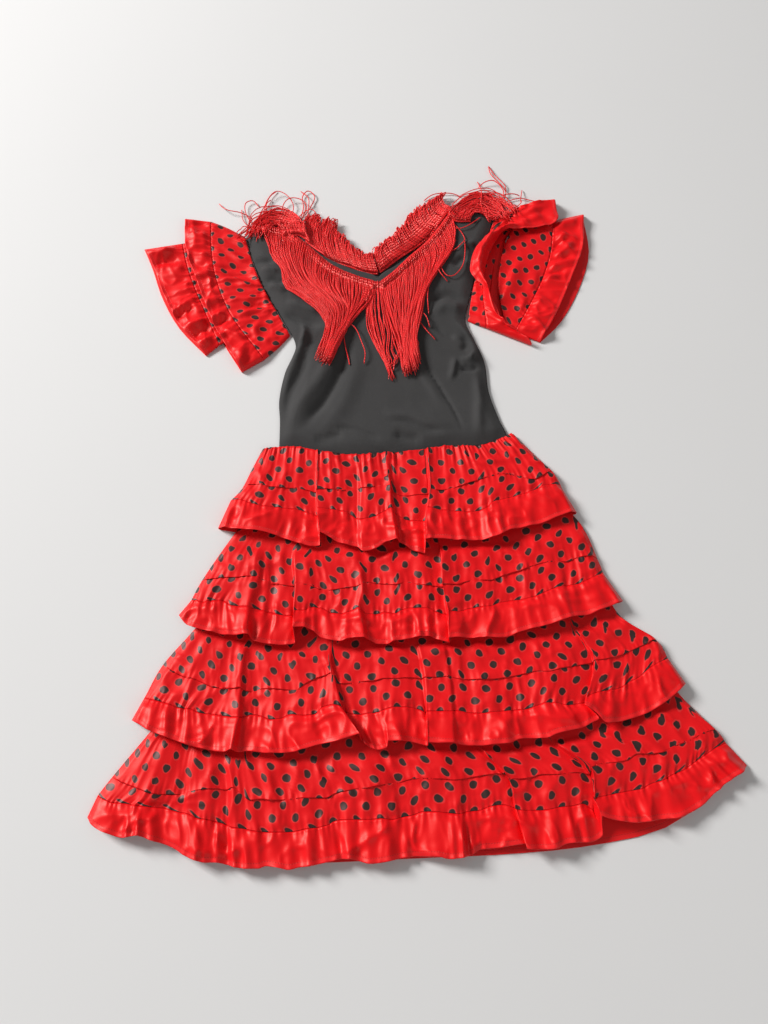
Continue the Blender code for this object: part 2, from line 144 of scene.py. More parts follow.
# The floor lies a little under the cloth, in metres.
FLOOR_LEVEL = -0.0002
# Stitches of a sewn line: their pitch and half their width.
STITCH_PITCH = 2.6
STITCH_HALF = 0.32

# A line across a tier: x of its left and right folds, the y of evenly spaced places between them, and
# the heights of the lower layer's underside and of the upper layer's.
Line = namedtuple("Line", "left right levels back front")
# The tiers are numbered from the waist. The wave is the height of the ruffle's small waves.
Tier = namedtuple("Tier", "name gather emerge tuck seam edge under_edge wave number")

TIERS = (
    Tier(
        "skirt_tier1",
        Line(-173, 109, (2, 4, -3, -6, -4, 0, 5, 6, 20), 0.0, 1.7),
        Line(-187, 140, (-22, -25, -27, -28, -28, -23, -16, -9, -4), 0.0, 2.4),
        Line(-194, 157, (-46, -46, -50, -52, -51, -45, -36, -33, -33), 0.0, 3.2),
        Line(-201, 160, (-63, -71, -73, -81, -77, -77, -73, -57, -42), 0.0, 6.0),
        Line(-211, 176, (-98, -105, -116, -119, -111, -109, -106, -90, -77), 0.0, 7.0),
        (-95, -103, -112, -114, -108, -106, -103, -88, -75), 2.4, 1,
    ),
    Tier(
        "skirt_tier2",
        Line(-180, 150, (-74, -80, -84, -80, -56), 1.8, 3.5),
        Line(-206, 181, (-113, -122, -117, -113, -89), 1.8, 3.5),
        Line(-224, 193, (-149, -152, -159, -159, -156, -153, -149, -138, -116), 0.0, 3.4),
        Line(-232, 203, (-171, -181, -186, -185, -187, -183, -178, -161, -144), 0.0, 6.0),
        Line(-249, 215, (-188, -212, -221, -218, -213, -216, -209, -193, -175), 0.0, 7.0),
        (-186, -208, -216, -214, -210, -211, -205, -190, -173), 2.6, 2,
    ),
    Tier(
        "skirt_tier3",
        Line(-212, 192, (-180, -191, -192, -184, -152), 1.8, 3.5),
        Line(-234, 222, (-209, -227, -219, -215, -186), 1.8, 3.5),
        Line(-263, 245, (-249, -260, -266, -262, -256, -257, -250, -232, -217), 0.0, 3.4),
        Line(-276, 256, (-273, -287, -290, -281, -283, -288, -281, -265, -237), 0.0, 6.0),
        Line(-285, 270, (-295, -320, -327, -315, -318, -320, -309, -295, -259), 0.0, 7.0),
        (-292, -315, -322, -311, -314, -316, -305, -291, -257), 2.8, 3,
    ),
    Tier(
        "skirt_tier4",
        Line(-248, 243, (-284, -295, -288, -286, -246), 1.8, 3.5),
        Line(-268, 273, (-308, -333, -324, -315, -271), 1.8, 3.5),
        Line(-287, 290, (-333, -352, -366, -358, -349, -347, -344, -327, -298), 0.0, 3.0),
        Line(-302, 301, (-361, -381, -400, -391, -384, -377, -372, -351, -318), 0.0, 3.0),
        Line(-315, 315, (-386, -408, -429, -423, -415, -409, -404, -385, -339), 0.0, 2.8),
        (-384, -405, -425, -424, -421, -418, -411, -393, -340), 4.0, 4,
    ),
)
# Places where a tier's cloth turns over a fold or into a hollow. Each row holds its x under the tier
# above, x and y where it meets the tuck, the seam and the edge, and how far it rises over the tier's base
# at these three. Where x lies left of the row before, the cloth folds over itself as a pleat.
TIER_FOLDS = {
    "skirt_tier1": (
        (-173, -193, -47, -204, -62, -215, -94, 0, 0, 0),
        (-167, -181, -43, -193, -62, -199, -98, 1.5, 1, 1.5),
        (-160, -170, -44, -181, -67, -184, -100, 2, 2.5, 4),
        (-153, -159, -46, -168, -70, -166, -102, 1.5, 2, 4.5),
        (-142, -146, -47, -149, -72, -149, -106, 1.5, 1.2, 2),
        (-130, -134, -47, -129, -74, -129, -113, 1, 0.6, 0.6),
        (-119, -119, -49, -116, -78, -112, -117, 0.2, 0.2, 0.4),
        (-112, -111, -52, -108, -81, -104, -116, 0, 0, 0.3),
        (-110, -109, -49, -108, -73, -104, -103, 3, 3.5, 4),
        (-102, -99, -49, -97, -74, -95, -107, 2.5, 2.5, 2.5),
        (-93, -87, -50, -87, -75, -85, -113, 2, 1.5, 1.2),
        (-83, -78, -50, -77, -77, -74, -116, 1.5, 1.5, 1),
        (-68, -65, -48, -66, -84, -64, -118, 0.3, 0.3, 0.4),
        (-64, -61, -48, -61, -86, -58, -124, 2.5, 2.5, 3.5),
        (-54, -49, -47, -47, -83, -45, -121, 2.2, 2, 3),
        (-43, -37, -45, -36, -77, -33, -114, 2, 2, 3.5),
        (-35, -30, -45, -28, -73, -22, -112, 2.5, 2.8, 6),
        (-28, -26, -51, -23, -79, -19, -113, 0.5, 1, 2),
        (-17, -12, -56, -10, -86, -7, -121, 0, 0.3, 0.5),
        (-4, 2, -55, 1, -87, 1, -124, 0.5, 0.4, 0.9),
        (9, 13, -54, 8, -87, 7, -125, 0, 0.2, 0.2),
        (14, 15, -50, 11, -72, 8, -112, 3, 3.5, 5.5),
        (27, 28, -50, 25, -75, 24, -110, 2, 2.2, 3.5),
        (39, 42, -47, 41, -76, 43, -111, 1.5, 1.2, 1.5),
        (50, 59, -41, 58, -77, 62, -111, 1.5, 1.2, 1.5),
        (59, 72, -37, 73, -74, 75, -110, 2, 2, 3.5),
        (68, 84, -33, 83, -66, 87, -107, 2.2, 3, 5.5),
        (77, 96, -30, 96, -62, 98, -100, 2, 2, 3),
        (89, 112, -33, 113, -57, 114, -96, 1.5, 1.5, 1.5),
        (98, 128, -37, 129, -51, 133, -91, 1.8, 1.5, 1.5),
        (104, 140, -32, 143, -45, 151, -84, 2, 1.5, 2),
        (109, 149, -27, 153, -44, 164, -79, 1, 1, 1.5),
        (113, 154, -29, 161, -48, 174, -76, 0, 0, 0),
    ),
    "skirt_tier2": (
        (-205, -228, -153, -237, -175, -248, -190, 0, 0, 0),
        (-201, -223, -152, -231, -175, -237, -202, 1, 1, 1),
        (-195, -214, -151, -223, -178, -223, -207, 1.5, 2, 3),
        (-187, -202, -150, -214, -176, -210, -210, 2, 1.5, 2),
        (-180, -190, -150, -203, -176, -198, -213, 2, 1.5, 2.5),
        (-173, -181, -149, -192, -182, -186, -214, 2.5, 2.5, 4.5),
        (-167, -170, -149, -178, -183, -172, -214, 3, 3.5, 6),
        (-161, -163, -152, -167, -185, -168, -219, 1, 1, 1.5),
        (-153, -152, -156, -153, -188, -153, -222, 0, 0, 0.3),
        (-143, -141, -158, -142, -191, -141, -223, 0.8, 1, 1.5),
        (-134, -130, -159, -129, -192, -126, -221, 0.3, 0.3, 0.5),
        (-129, -128, -157, -128, -187, -128, -207, 3.5, 4, 5.5),
        (-119, -115, -158, -118, -187, -118, -206, 3, 3, 5),
        (-111, -105, -162, -110, -183, -108, -209, 2, 2, 2.5),
        (-102, -95, -164, -100, -184, -99, -216, 1.5, 1.2, 1),
        (-94, -85, -163, -90, -189, -87, -219, 2, 1.5, 1.5),
        (-85, -74, -161, -79, -190, -78, -220, 2, 2, 3.5),
        (-77, -65, -160, -69, -187, -69, -217, 2.5, 2.5, 4),
        (-68, -59, -158, -61, -184, -56, -217, 3, 3.5, 6.5),
        (-59, -53, -155, -53, -190, -51, -218, 1, 1, 2),
        (-50, -44, -156, -44, -190, -42, -222, 0.5, 0.3, 0.5),
        (-39, -34, -157, -35, -188, -33, -222, 1, 0.8, 0.8),
        (-29, -24, -158, -25, -190, -24, -219, 2, 2, 3.5),
        (-21, -15, -156, -17, -186, -15, -218, 2, 2, 3),
        (-12, -6, -156, -8, -184, -5, -216, 1.5, 1.5, 2),
        (-4, 2, -158, 0, -184, 3, -215, 2.5, 2.5, 4.5),
        (6, 10, -158, 11, -184, 11, -215, 1.5, 1.5, 3),
        (15, 18, -159, 19, -188, 19, -218, 0.3, 0.3, 0.8),
        (23, 26, -160, 29, -190, 30, -221, 0, 0, 0.3),
        (24, 25, -158, 30, -187, 29, -218, 3, 3.5, 5),
        (35, 39, -158, 40, -188, 40, -216, 2.5, 2.5, 4.5),
        (46, 50, -155, 51, -185, 52, -216, 1.8, 1.5, 2),
        (57, 63, -153, 63, -183, 63, -216, 2.2, 2.2, 3.5),
        (67, 75, -153, 74, -182, 76, -216, 2.2, 2.5, 4),
        (78, 86, -149, 84, -178, 88, -215, 1, 1, 1.2),
        (89, 97, -145, 96, -176, 99, -211, 1, 1, 1),
        (99, 109, -142, 107, -175, 113, -207, 1.8, 1.8, 2),
        (110, 119, -138, 120, -172, 127, -204, 2, 2.5, 3),
        (123, 132, -134, 134, -166, 141, -200, 2, 2.5, 3.5),
        (137, 146, -132, 144, -162, 153, -196, 2, 2.5, 5.5),
        (149, 157, -132, 155, -160, 160, -194, 1, 1, 2),
        (158, 166, -129, 166, -158, 173, -192, 1, 1, 1),
        (166, 174, -127, 176, -154, 186, -187, 1.5, 1.5, 2),
        (171, 183, -126, 186, -149, 199, -182, 1, 1, 1.5),
        (178, 192, -129, 196, -145, 213, -175, 0, 0, 0),
    ),
    "skirt_tier3": (
        (-234, -260, -242, -274, -274, -284, -296, 0, 0, 0),
        (-230, -253, -245, -268, -276, -274, -301, 1, 1, 1.5),
        (-225, -244, -250, -259, -278, -263, -307, 1.5, 1.5, 2.5),
        (-219, -234, -254, -248, -281, -249, -312, 1.8, 2, 3.5),
        (-212, -224, -256, -236, -285, -235, -317, 2, 1.5, 2),
        (-205, -213, -261, -226, -286, -223, -321, 2, 2, 3),
        (-198, -204, -264, -215, -290, -210, -324, 1.8, 2, 3),
        (-190, -194, -265, -203, -291, -199, -326, 1.5, 1.5, 2),
        (-183, -185, -265, -190, -293, -189, -327, 2, 2.5, 4),
        (-177, -179, -264, -178, -294, -182, -325, 3, 4, 6),
        (-173, -173, -267, -173, -293, -176, -327, 1, 1.2, 1.5),
        (-167, -165, -268, -164, -291, -167, -326, 0.3, 0.3, 0.4),
        (-161, -157, -265, -155, -293, -157, -327, 0.8, 0.8, 1),
        (-153, -147, -265, -146, -296, -146, -328, 1.5, 2, 3.5),
        (-142, -135, -266, -137, -295, -135, -328, 1, 1.5, 3),
        (-132, -124, -267, -127, -291, -123, -327, 1.5, 2, 3.5),
        (-122, -115, -261, -115, -292, -111, -324, 2, 2.2, 4),
        (-112, -104, -255, -104, -291, -97, -320, 2, 2, 3.5),
        (-101, -94, -252, -95, -284, -84, -318, 2.5, 3, 5),
        (-93, -89, -250, -85, -282, -70, -314, 3.5, 4, 6.5),
        (-90, -86, -253, -78, -284, -59, -311, 3.5, 4.5, 8),
        (-86, -82, -260, -74, -288, -57, -316, 0.5, 0.5, 1.5),
        (-75, -69, -260, -62, -291, -48, -323, 0.5, 0.3, 0.4),
        (-62, -57, -258, -51, -290, -41, -325, 1.2, 1, 1),
        (-50, -45, -257, -42, -289, -33, -323, 1.2, 1.2, 1.5),
        (-41, -35, -255, -34, -286, -32, -317, 2.5, 2.5, 5),
        (-32, -23, -255, -24, -284, -22, -317, 2.2, 2.5, 4.5),
        (-21, -13, -254, -14, -284, -13, -317, 1.5, 1.5, 2.5),
        (-12, -6, -254, -5, -285, -3, -319, 0.5, 0.5, 1),
        (-3, 2, -255, 5, -289, 6, -321, 0, 0, 0.3),
        (0, 5, -254, 6, -288, 6, -318, 2.5, 2.5, 4),
        (11, 17, -254, 18, -288, 18, -319, 2.2, 2.5, 4.5),
        (23, 29, -253, 30, -288, 30, -319, 3, 3, 5),
        (28, 33, -254, 35, -287, 37, -320, 1, 1, 1.5),
        (38, 44, -256, 46, -289, 47, -321, 1, 1, 1),
        (48, 56, -256, 57, -290, 59, -321, 1.5, 1.2, 1.2),
        (58, 68, -256, 69, -289, 70, -320, 2, 2.5, 4),
        (69, 80, -255, 81, -288, 84, -319, 1.8, 2, 4.5),
        (79, 93, -253, 92, -287, 95, -315, 1.2, 1.2, 1.5),
        (91, 106, -250, 104, -286, 107, -314, 1.5, 1.5, 1.5),
        (103, 118, -248, 114, -283, 120, -314, 2, 2.5, 3),
        (115, 129, -248, 124, -280, 131, -310, 2, 3, 4.5),
        (127, 141, -245, 134, -280, 144, -307, 2, 2.5, 4.5),
        (139, 153, -243, 144, -282, 157, -304, 1.5, 1.5, 2),
        (150, 164, -241, 155, -281, 167, -299, 1, 0.6, 0.8),
        (158, 174, -239, 164, -279, 174, -295, 0.4, 0.2, 0.2),
        (160, 176, -237, 162, -276, 159, -283, 3, 4, 5),
        (168, 186, -236, 175, -270, 169, -290, 2.5, 3.5, 5),
        (175, 195, -234, 186, -268, 180, -300, 2, 2.5, 4),
        (182, 203, -232, 197, -266, 191, -299, 2, 1.8, 2),
        (189, 212, -228, 207, -260, 207, -295, 1.5, 1.2, 1.2),
        (196, 221, -224, 218, -255, 222, -290, 1.5, 1.2, 1.2),
        (201, 230, -220, 228, -247, 235, -283, 1.5, 1.8, 2.5),
        (205, 238, -216, 240, -240, 250, -273, 1, 1.2, 1.5),
        (208, 244, -217, 252, -235, 266, -260, 0, 0, 0),
    ),
    "skirt_tier4": (
        (-266, -297, -349, -309, -366, -316, -385, 0, 0, 0),
        (-262, -289, -352, -301, -369, -307, -393, 1, 1, 1),
        (-257, -280, -355, -292, -372, -293, -399, 1.5, 2, 3),
        (-251, -268, -359, -279, -373, -277, -403, 2, 2, 3.5),
        (-243, -256, -363, -266, -375, -264, -401, 2.5, 3, 5),
        (-236, -246, -364, -255, -376, -251, -405, 2, 2, 3),
        (-230, -237, -364, -244, -377, -238, -409, 0.5, 0.5, 0.6),
        (-224, -229, -364, -231, -380, -228, -413, 0.5, 0.5, 0.5),
        (-218, -220, -362, -220, -382, -219, -418, 2, 2, 3),
        (-211, -211, -360, -210, -386, -208, -422, 2.5, 2.5, 4),
        (-204, -202, -359, -202, -387, -199, -424, 2.5, 2.5, 4.5),
        (-197, -194, -359, -193, -389, -190, -424, 1, 1, 1.2),
        (-190, -186, -360, -185, -391, -180, -426, 0.5, 0.5, 0.8),
        (-184, -180, -358, -177, -394, -171, -428, 2, 2.5, 3.5),
        (-176, -171, -363, -167, -395, -161, -429, 2, 2, 3),
        (-168, -162, -369, -156, -397, -151, -429, 2, 2.2, 3.5),
        (-159, -151, -368, -145, -398, -143, -427, 1.2, 1, 1.5),
        (-151, -142, -369, -137, -398, -133, -428, 2.5, 2.5, 4),
        (-142, -132, -369, -127, -398, -123, -430, 1.2, 1.2, 1.5),
        (-132, -121, -368, -117, -397, -113, -428, 1, 1, 1.2),
        (-123, -112, -367, -108, -395, -104, -427, 2, 2.2, 3.5),
        (-114, -101, -367, -98, -394, -94, -425, 1.5, 1.5, 2),
        (-104, -91, -367, -89, -392, -84, -423, 1.5, 1.8, 2.5),
        (-96, -82, -363, -81, -388, -75, -421, 0.6, 0.6, 1),
        (-86, -73, -361, -71, -387, -67, -421, 2.5, 2.5, 4.5),
        (-76, -61, -359, -60, -387, -58, -423, 2, 2, 2.5),
        (-65, -51, -358, -49, -387, -48, -425, 2, 2.2, 3.5),
        (-54, -41, -356, -38, -386, -38, -424, 2.5, 2.5, 4.5),
        (-45, -32, -355, -28, -387, -27, -422, 2, 2, 4),
        (-37, -23, -354, -19, -385, -17, -420, 0.6, 0.6, 1),
        (-26, -13, -351, -8, -383, -5, -419, 0.5, 0.5, 0.6),
        (-15, -2, -349, 2, -380, 6, -419, 1.2, 1.2, 2),
        (-6, 8, -350, 11, -380, 14, -419, 2.2, 2.2, 3.5),
        (4, 19, -350, 22, -381, 24, -421, 2, 2.2, 4),
        (14, 30, -351, 34, -382, 35, -420, 2.5, 2.8, 5.5),
        (22, 40, -350, 43, -380, 44, -418, 0.8, 0.8, 1.2),
        (31, 51, -348, 54, -379, 54, -413, 0.3, 0.3, 0.5),
        (41, 64, -346, 66, -375, 68, -412, 0.6, 0.6, 0.6),
        (50, 75, -345, 77, -374, 82, -410, 0.8, 0.8, 0.8),
        (57, 82, -347, 87, -377, 95, -408, 0.4, 0.4, 0.4),
        (59, 82, -350, 88, -378, 95, -412, 3.5, 3.5, 5.5),
        (67, 92, -350, 99, -379, 105, -413, 2.5, 2.5, 3.5),
        (77, 103, -349, 109, -379, 113, -413, 1.8, 2, 2.5),
        (87, 115, -346, 120, -378, 122, -412, 2.5, 3, 5.5),
        (96, 126, -346, 130, -376, 133, -408, 2.2, 2.5, 5),
        (107, 139, -345, 142, -375, 144, -407, 1.5, 1.5, 1.5),
        (117, 150, -344, 152, -373, 154, -407, 1.2, 1.2, 0.8),
        (128, 161, -346, 162, -380, 168, -400, 0.4, 0.2, 0.2),
        (131, 161, -341, 162, -369, 166, -384, 4, 4.5, 6),
        (141, 174, -336, 174, -366, 176, -387, 2.5, 3, 5),
        (152, 185, -335, 184, -364, 188, -389, 2.2, 2.5, 4.5),
        (163, 197, -333, 195, -362, 199, -390, 2, 2.2, 4),
        (174, 209, -327, 208, -360, 210, -389, 2, 2.2, 3.5),
        (187, 220, -327, 219, -355, 224, -387, 1.5, 1.5, 2),
        (200, 231, -326, 230, -352, 237, -386, 2, 2.2, 3),
        (213, 243, -321, 240, -347, 252, -381, 1.5, 1.5, 1.5),
        (226, 254, -317, 251, -343, 265, -374, 1.5, 1.5, 1.5),
        (237, 264, -313, 262, -336, 278, -363, 1.5, 1.5, 2),
        (246, 275, -308, 274, -329, 294, -352, 1.5, 1.5, 2),
        (254, 284, -305, 286, -322, 306, -345, 1, 1, 1.5),
        (262, 291, -306, 298, -317, 315, -338, 0, 0, 0),
    ),
}

# A line across a sleeve: evenly spaced places from the shoulder fold to the underarm fold, and how far
# the lower layer reaches past the upper one. A sleeve's cup is the height that its turned edge stands up.
Cuff = namedtuple("Cuff", "places back front drop")
Sleeve = namedtuple("Sleeve", "name lines cup seed mirrored")
SLEEVES = (
    Sleeve(
        "sleeve_left_tier1",
        (
            Cuff(((-212, 303), (-201, 267), (-189, 234), (-171, 198), (-148, 155)), 0.0, 1.7, 0),
            Cuff(((-236, 317), (-228, 274), (-217, 233), (-196, 187), (-163, 136)), 0.0, 3.2, 0),
            Cuff(((-256, 325), (-252, 280), (-242, 232), (-219, 178), (-178, 120)), 0.0, 6.0, 0),
            Cuff(((-289, 329), (-284, 281), (-264, 225), (-237, 160), (-203, 103)), 0.0, 7.0, 0),
        ),
        0, 5, False,
    ),
    Sleeve(
        "sleeve_left_tier2",
        (
            Cuff(((-259, 297), (-257, 266), (-247, 229), (-229, 189), (-209, 152)), 1.8, 3.5, 0),
            Cuff(((-276, 294), (-270, 261), (-257, 225), (-241, 187), (-221, 146)), 2.2, 3.8, 0),
            Cuff(((-290, 291), (-281, 256), (-268, 221), (-252, 185), (-232, 140)), 2.2, 3.9, 0),
            Cuff(((-338, 283), (-322, 252), (-305, 210), (-281, 166), (-247, 126)), 0.0, 2.6, 3),
        ),
        0, 6, False,
    ),
    Sleeve(
        "sleeve_right_tier1",
        (
            Cuff(((105, 330), (95, 299), (84, 265), (73, 222), (65, 176)), 0.0, 1.7, 0),
            Cuff(((124, 341), (107, 310), (90, 270), (79, 222), (76, 170)), 0.3, 3.4, 4),
            Cuff(((141, 351), (120, 318), (97, 275), (85, 222), (87, 165)), 0.9, 6.0, 14),
            Cuff(
                ((182, 361), (185, 340), (183, 320), (155, 309), (131, 307), (111, 302), (94, 294),
                 (79, 276), (71, 251), (72, 232), (84, 217), (97, 196), (106, 168), (125, 154), (140, 140)),
                0.9, 7.0, 52,
            ),
        ),
        11, 7, True,
    ),
    Sleeve(
        "sleeve_right_tier2",
        (
            Cuff(((142, 336), (124, 305), (111, 268), (105, 220), (110, 172)), 1.8, 3.5, 0),
            Cuff(((163, 332), (151, 290), (137, 250), (124, 206), (116, 165)), 2.2, 3.8, 0),
            Cuff(((180, 327), (174, 279), (160, 235), (140, 193), (121, 158)), 2.2, 4.0, 0),
            Cuff(((220, 339), (214, 285), (196, 237), (173, 184), (151, 145)), 0.0, 3.4, 14),
        ),
        0, 8, True,
    ),
)

# A level of the bodice: its left edge, its neck edge on either side, and its right edge.
Level = namedtuple("Level", "left neck_left neck_right right")
BELOW_THE_V = (
    Level((-154, 8), (-28, -4), (-28, -4), (105, 19)),
    Level((-155, 38), (-30, 38), (-30, 38), (96, 40)),
    Level((-157, 66), (-32, 76), (-32, 76), (86, 76)),
    Level((-152, 102), (-34, 114), (-34, 114), (83, 116)),
    Level((-141, 138), (-37, 152), (-37, 152), (72, 148)),
    Level((-155, 171), (-40, 192), (-40, 192), (63, 176)),
)
FRONT_V = (
    Level((-171, 199), (-43, 234), (-43, 234), (73, 221)),
    Level((-181, 217), (-78, 249), (-14, 258), (79, 250)),
    Level((-192, 243), (-110, 267), (10, 281), (87, 278)),
    Level((-202, 272), (-132, 291), (30, 309), (96, 303)),
    Level((-211, 301), (-141, 328), (47, 348), (104, 328)),
)
BACK_V = (
    Level((-171, 199), (-54, 250), (-54, 250), (73, 221)),
    Level((-181, 217), (-92, 265), (-16, 274), (79, 250)),
    Level((-192, 243), (-116, 281), (4, 290), (87, 278)),
    Level((-202, 272), (-134, 300), (22, 312), (96, 303)),
    Level((-211, 301), (-143, 328), (40, 345), (104, 328)),
)
# Listed creases: places along each in plan, its width on the left and on the right of its run,
# and its height, which is below 0 for a trough.
JERSEY_CREASES = (
    (((-135, 177), (-131, 152), (-140, 131), (-148, 107), (-154, 84), (-156, 64)), 5, 3, 5.5),
    (((-122, 150), (-132, 107), (-146, 70), (-150, 27)), 7, 7, -4.0),
    (((-96, 129), (-108, 97), (-127, 64), (-145, 27)), 9, 9, 3.4),
    (((-73, 157), (-85, 107), (-98, 74), (-113, 48), (-131, 22)), 6, 6, -3.4),
    (((-62, 131), (-73, 84), (-88, 48), (-110, 17)), 11, 9, 2.0),
    (((-162, 186), (-137, 174), (-107, 165)), 6, 6, -4.0),
    (((-156, 199), (-132, 190), (-111, 183)), 6, 5, 3.6),
    (((-99, 25), (-74, 25), (-52, 17), (-34, 8)), 3, 3, -1.8),
    (((-36, 37), (-8, 34), (12, 25), (34, 22)), 3, 3, -2.2),
    (((-38, 44), (-8, 42), (18, 33), (44, 29)), 6, 5, 1.6),
    (((-27, 20), (-9, 14), (9, 12)), 5, 5, -3.2),
    (((-117, 12), (-99, 14), (-80, 20)), 4, 4, -2.4),
    (((7, 152), (11, 115), (26, 85), (38, 62), (48, 40), (54, 20)), 2, 2, -2.0),
    (((1, 140), (6, 106), (20, 78), (33, 52)), 5, 4, 1.4),
    (((51, 171), (65, 154), (72, 136), (66, 120), (51, 115)), 4, 3, 4.0),
    (((58, 152), (62, 138), (56, 127)), 5, 5, -2.6),
    (((48, 120), (46, 104), (42, 88)), 3, 4, 2.4),
    (((52, 106), (64, 104), (77, 109)), 3, 3, -3.0),
    (((74, 101), (73, 57), (70, 12)), 6, 5, 2.6),
    (((18, 203), (40, 209), (69, 200)), 5, 5, -3.4),
    (((20, 184), (42, 192), (61, 188)), 6, 6, 2.4),
    (((22, 166), (38, 152), (50, 150)), 4, 4, -1.8),
    (((-200, 262), (-188, 262), (-170, 259)), 4, 4, -3.2),
    (((-194, 250), (-178, 246), (-164, 243)), 4, 5, 2.4),
    (((-187, 236), (-169, 232), (-156, 228)), 4, 4, -3.0),
    (((-180, 224), (-168, 220), (-154, 214)), 4, 4, 2.6),
    (((70, 268), (58, 262), (50, 252)), 5, 5, -2.6),
    (((80, 290), (66, 284), (58, 276)), 5, 5, 2.4),
)
# The sleeves' creases, by the start of a piece's name.
SLEEVE_CREASES = {
    "sleeve_left_tier1_band": (
        (((-207, 286), (-223, 297), (-241, 302)), 4, 5, 3.0),
        (((-203, 262), (-218, 268), (-240, 284)), 4, 4, 2.6),
        (((-200, 248), (-218, 252), (-244, 250)), 5, 4, -2.6),
        (((-188, 223), (-207, 228), (-223, 234), (-242, 226)), 4, 3, 3.4),
        (((-192, 234), (-212, 240), (-236, 242)), 4, 4, -3.0),
        (((-182, 207), (-199, 205), (-214, 204), (-232, 194)), 4, 4, 3.2),
        (((-171, 188), (-184, 189), (-199, 185), (-214, 178)), 4, 3, 3.6),
        (((-175, 196), (-190, 196), (-206, 194)), 3, 3, -3.0),
        (((-183, 176), (-191, 161), (-186, 145)), 5, 4, 3.2),
        (((-160, 150), (-172, 148), (-180, 138)), 5, 4, 2.2),
    ),
    "sleeve_left_tier1_ruffle": (
        (((-258, 316), (-270, 318), (-286, 312)), 4, 5, -3.0),
        (((-256, 296), (-272, 298), (-286, 294)), 6, 6, 3.6),
        (((-244, 271), (-261, 270), (-284, 274)), 5, 4, 3.6),
        (((-250, 254), (-266, 254), (-280, 260)), 5, 5, -3.4),
        (((-240, 240), (-256, 238), (-272, 242)), 6, 5, 3.4),
        (((-236, 222), (-252, 218), (-266, 220)), 5, 5, -3.0),
        (((-228, 202), (-244, 200), (-256, 192)), 6, 4, 4.0),
        (((-222, 184), (-236, 178), (-246, 174)), 4, 4, 3.6),
        (((-216, 176), (-230, 170), (-240, 160)), 3, 4, -3.4),
        (((-232, 162), (-216, 152), (-200, 150), (-184, 155)), 4, 3, 4.2),
        (((-222, 150), (-232, 148), (-242, 140)), 4, 4, 3.6),
        (((-200, 140), (-206, 124), (-203, 108)), 8, 7, 2.6),
        (((-190, 134), (-196, 120), (-192, 108)), 5, 5, -2.6),
    ),
    "sleeve_left_tier2_ruffle": (
        (((-296, 278), (-316, 272), (-334, 276)), 5, 6, 3.8),
        (((-290, 266), (-306, 260), (-324, 258)), 5, 5, -3.0),
        (((-282, 258), (-296, 244), (-316, 238)), 7, 6, 3.0),
        (((-277, 238), (-290, 226), (-308, 218)), 7, 6, -2.6),
        (((-262, 208), (-276, 196), (-292, 182)), 6, 4, 4.6),
        (((-262, 194), (-276, 186), (-288, 174)), 5, 5, -3.0),
        (((-246, 176), (-262, 166), (-280, 160)), 6, 4, 4.6),
        (((-240, 166), (-252, 158), (-268, 148)), 4, 4, -3.2),
        (((-234, 156), (-246, 146), (-258, 136)), 5, 4, 4.2),
    ),
    "sleeve_right_tier1_band": (
        (((108, 322), (122, 330), (140, 350)), 6, 6, 2.4),
        (((102, 300), (112, 302), (124, 318)), 5, 5, -2.4),
    ),
    "sleeve_right_tier1_ruffle": (
        (((150, 346), (160, 352), (178, 358)), 5, 4, 3.2),
        (((142, 330), (154, 338), (174, 346)), 5, 4, 3.6),
        (((138, 322), (150, 322), (166, 330)), 5, 4, 3.2),
    ),
    "sleeve_right_tier2_band": (
        (((134, 264), (124, 246), (118, 230), (111, 212), (107, 198)), 13, 3, 5.0),
        (((146, 250), (150, 234), (143, 214)), 8, 7, 2.6),
        (((128, 214), (134, 200), (128, 184)), 6, 5, 2.8),
    ),
    "sleeve_right_tier2_ruffle": (
        (((184, 316), (198, 320), (212, 320)), 6, 6, 3.0),
        (((178, 290), (190, 300), (196, 306)), 4, 5, 3.6),
        (((176, 268), (190, 276), (206, 298)), 6, 5, 4.6),
        (((172, 276), (180, 286), (190, 292)), 4, 4, -3.0),
        (((168, 250), (182, 254), (202, 256)), 6, 5, 4.0),
        (((166, 242), (178, 244), (192, 246)), 4, 4, -3.2),
        (((156, 228), (166, 236), (182, 236)), 5, 4, 4.2),
        (((150, 216), (164, 206), (172, 196)), 6, 6, -2.6),
        (((144, 204), (156, 194), (168, 184)), 6, 6, 3.2),
        (((136, 184), (146, 172), (156, 158)), 5, 4, 3.6),
    ),
}

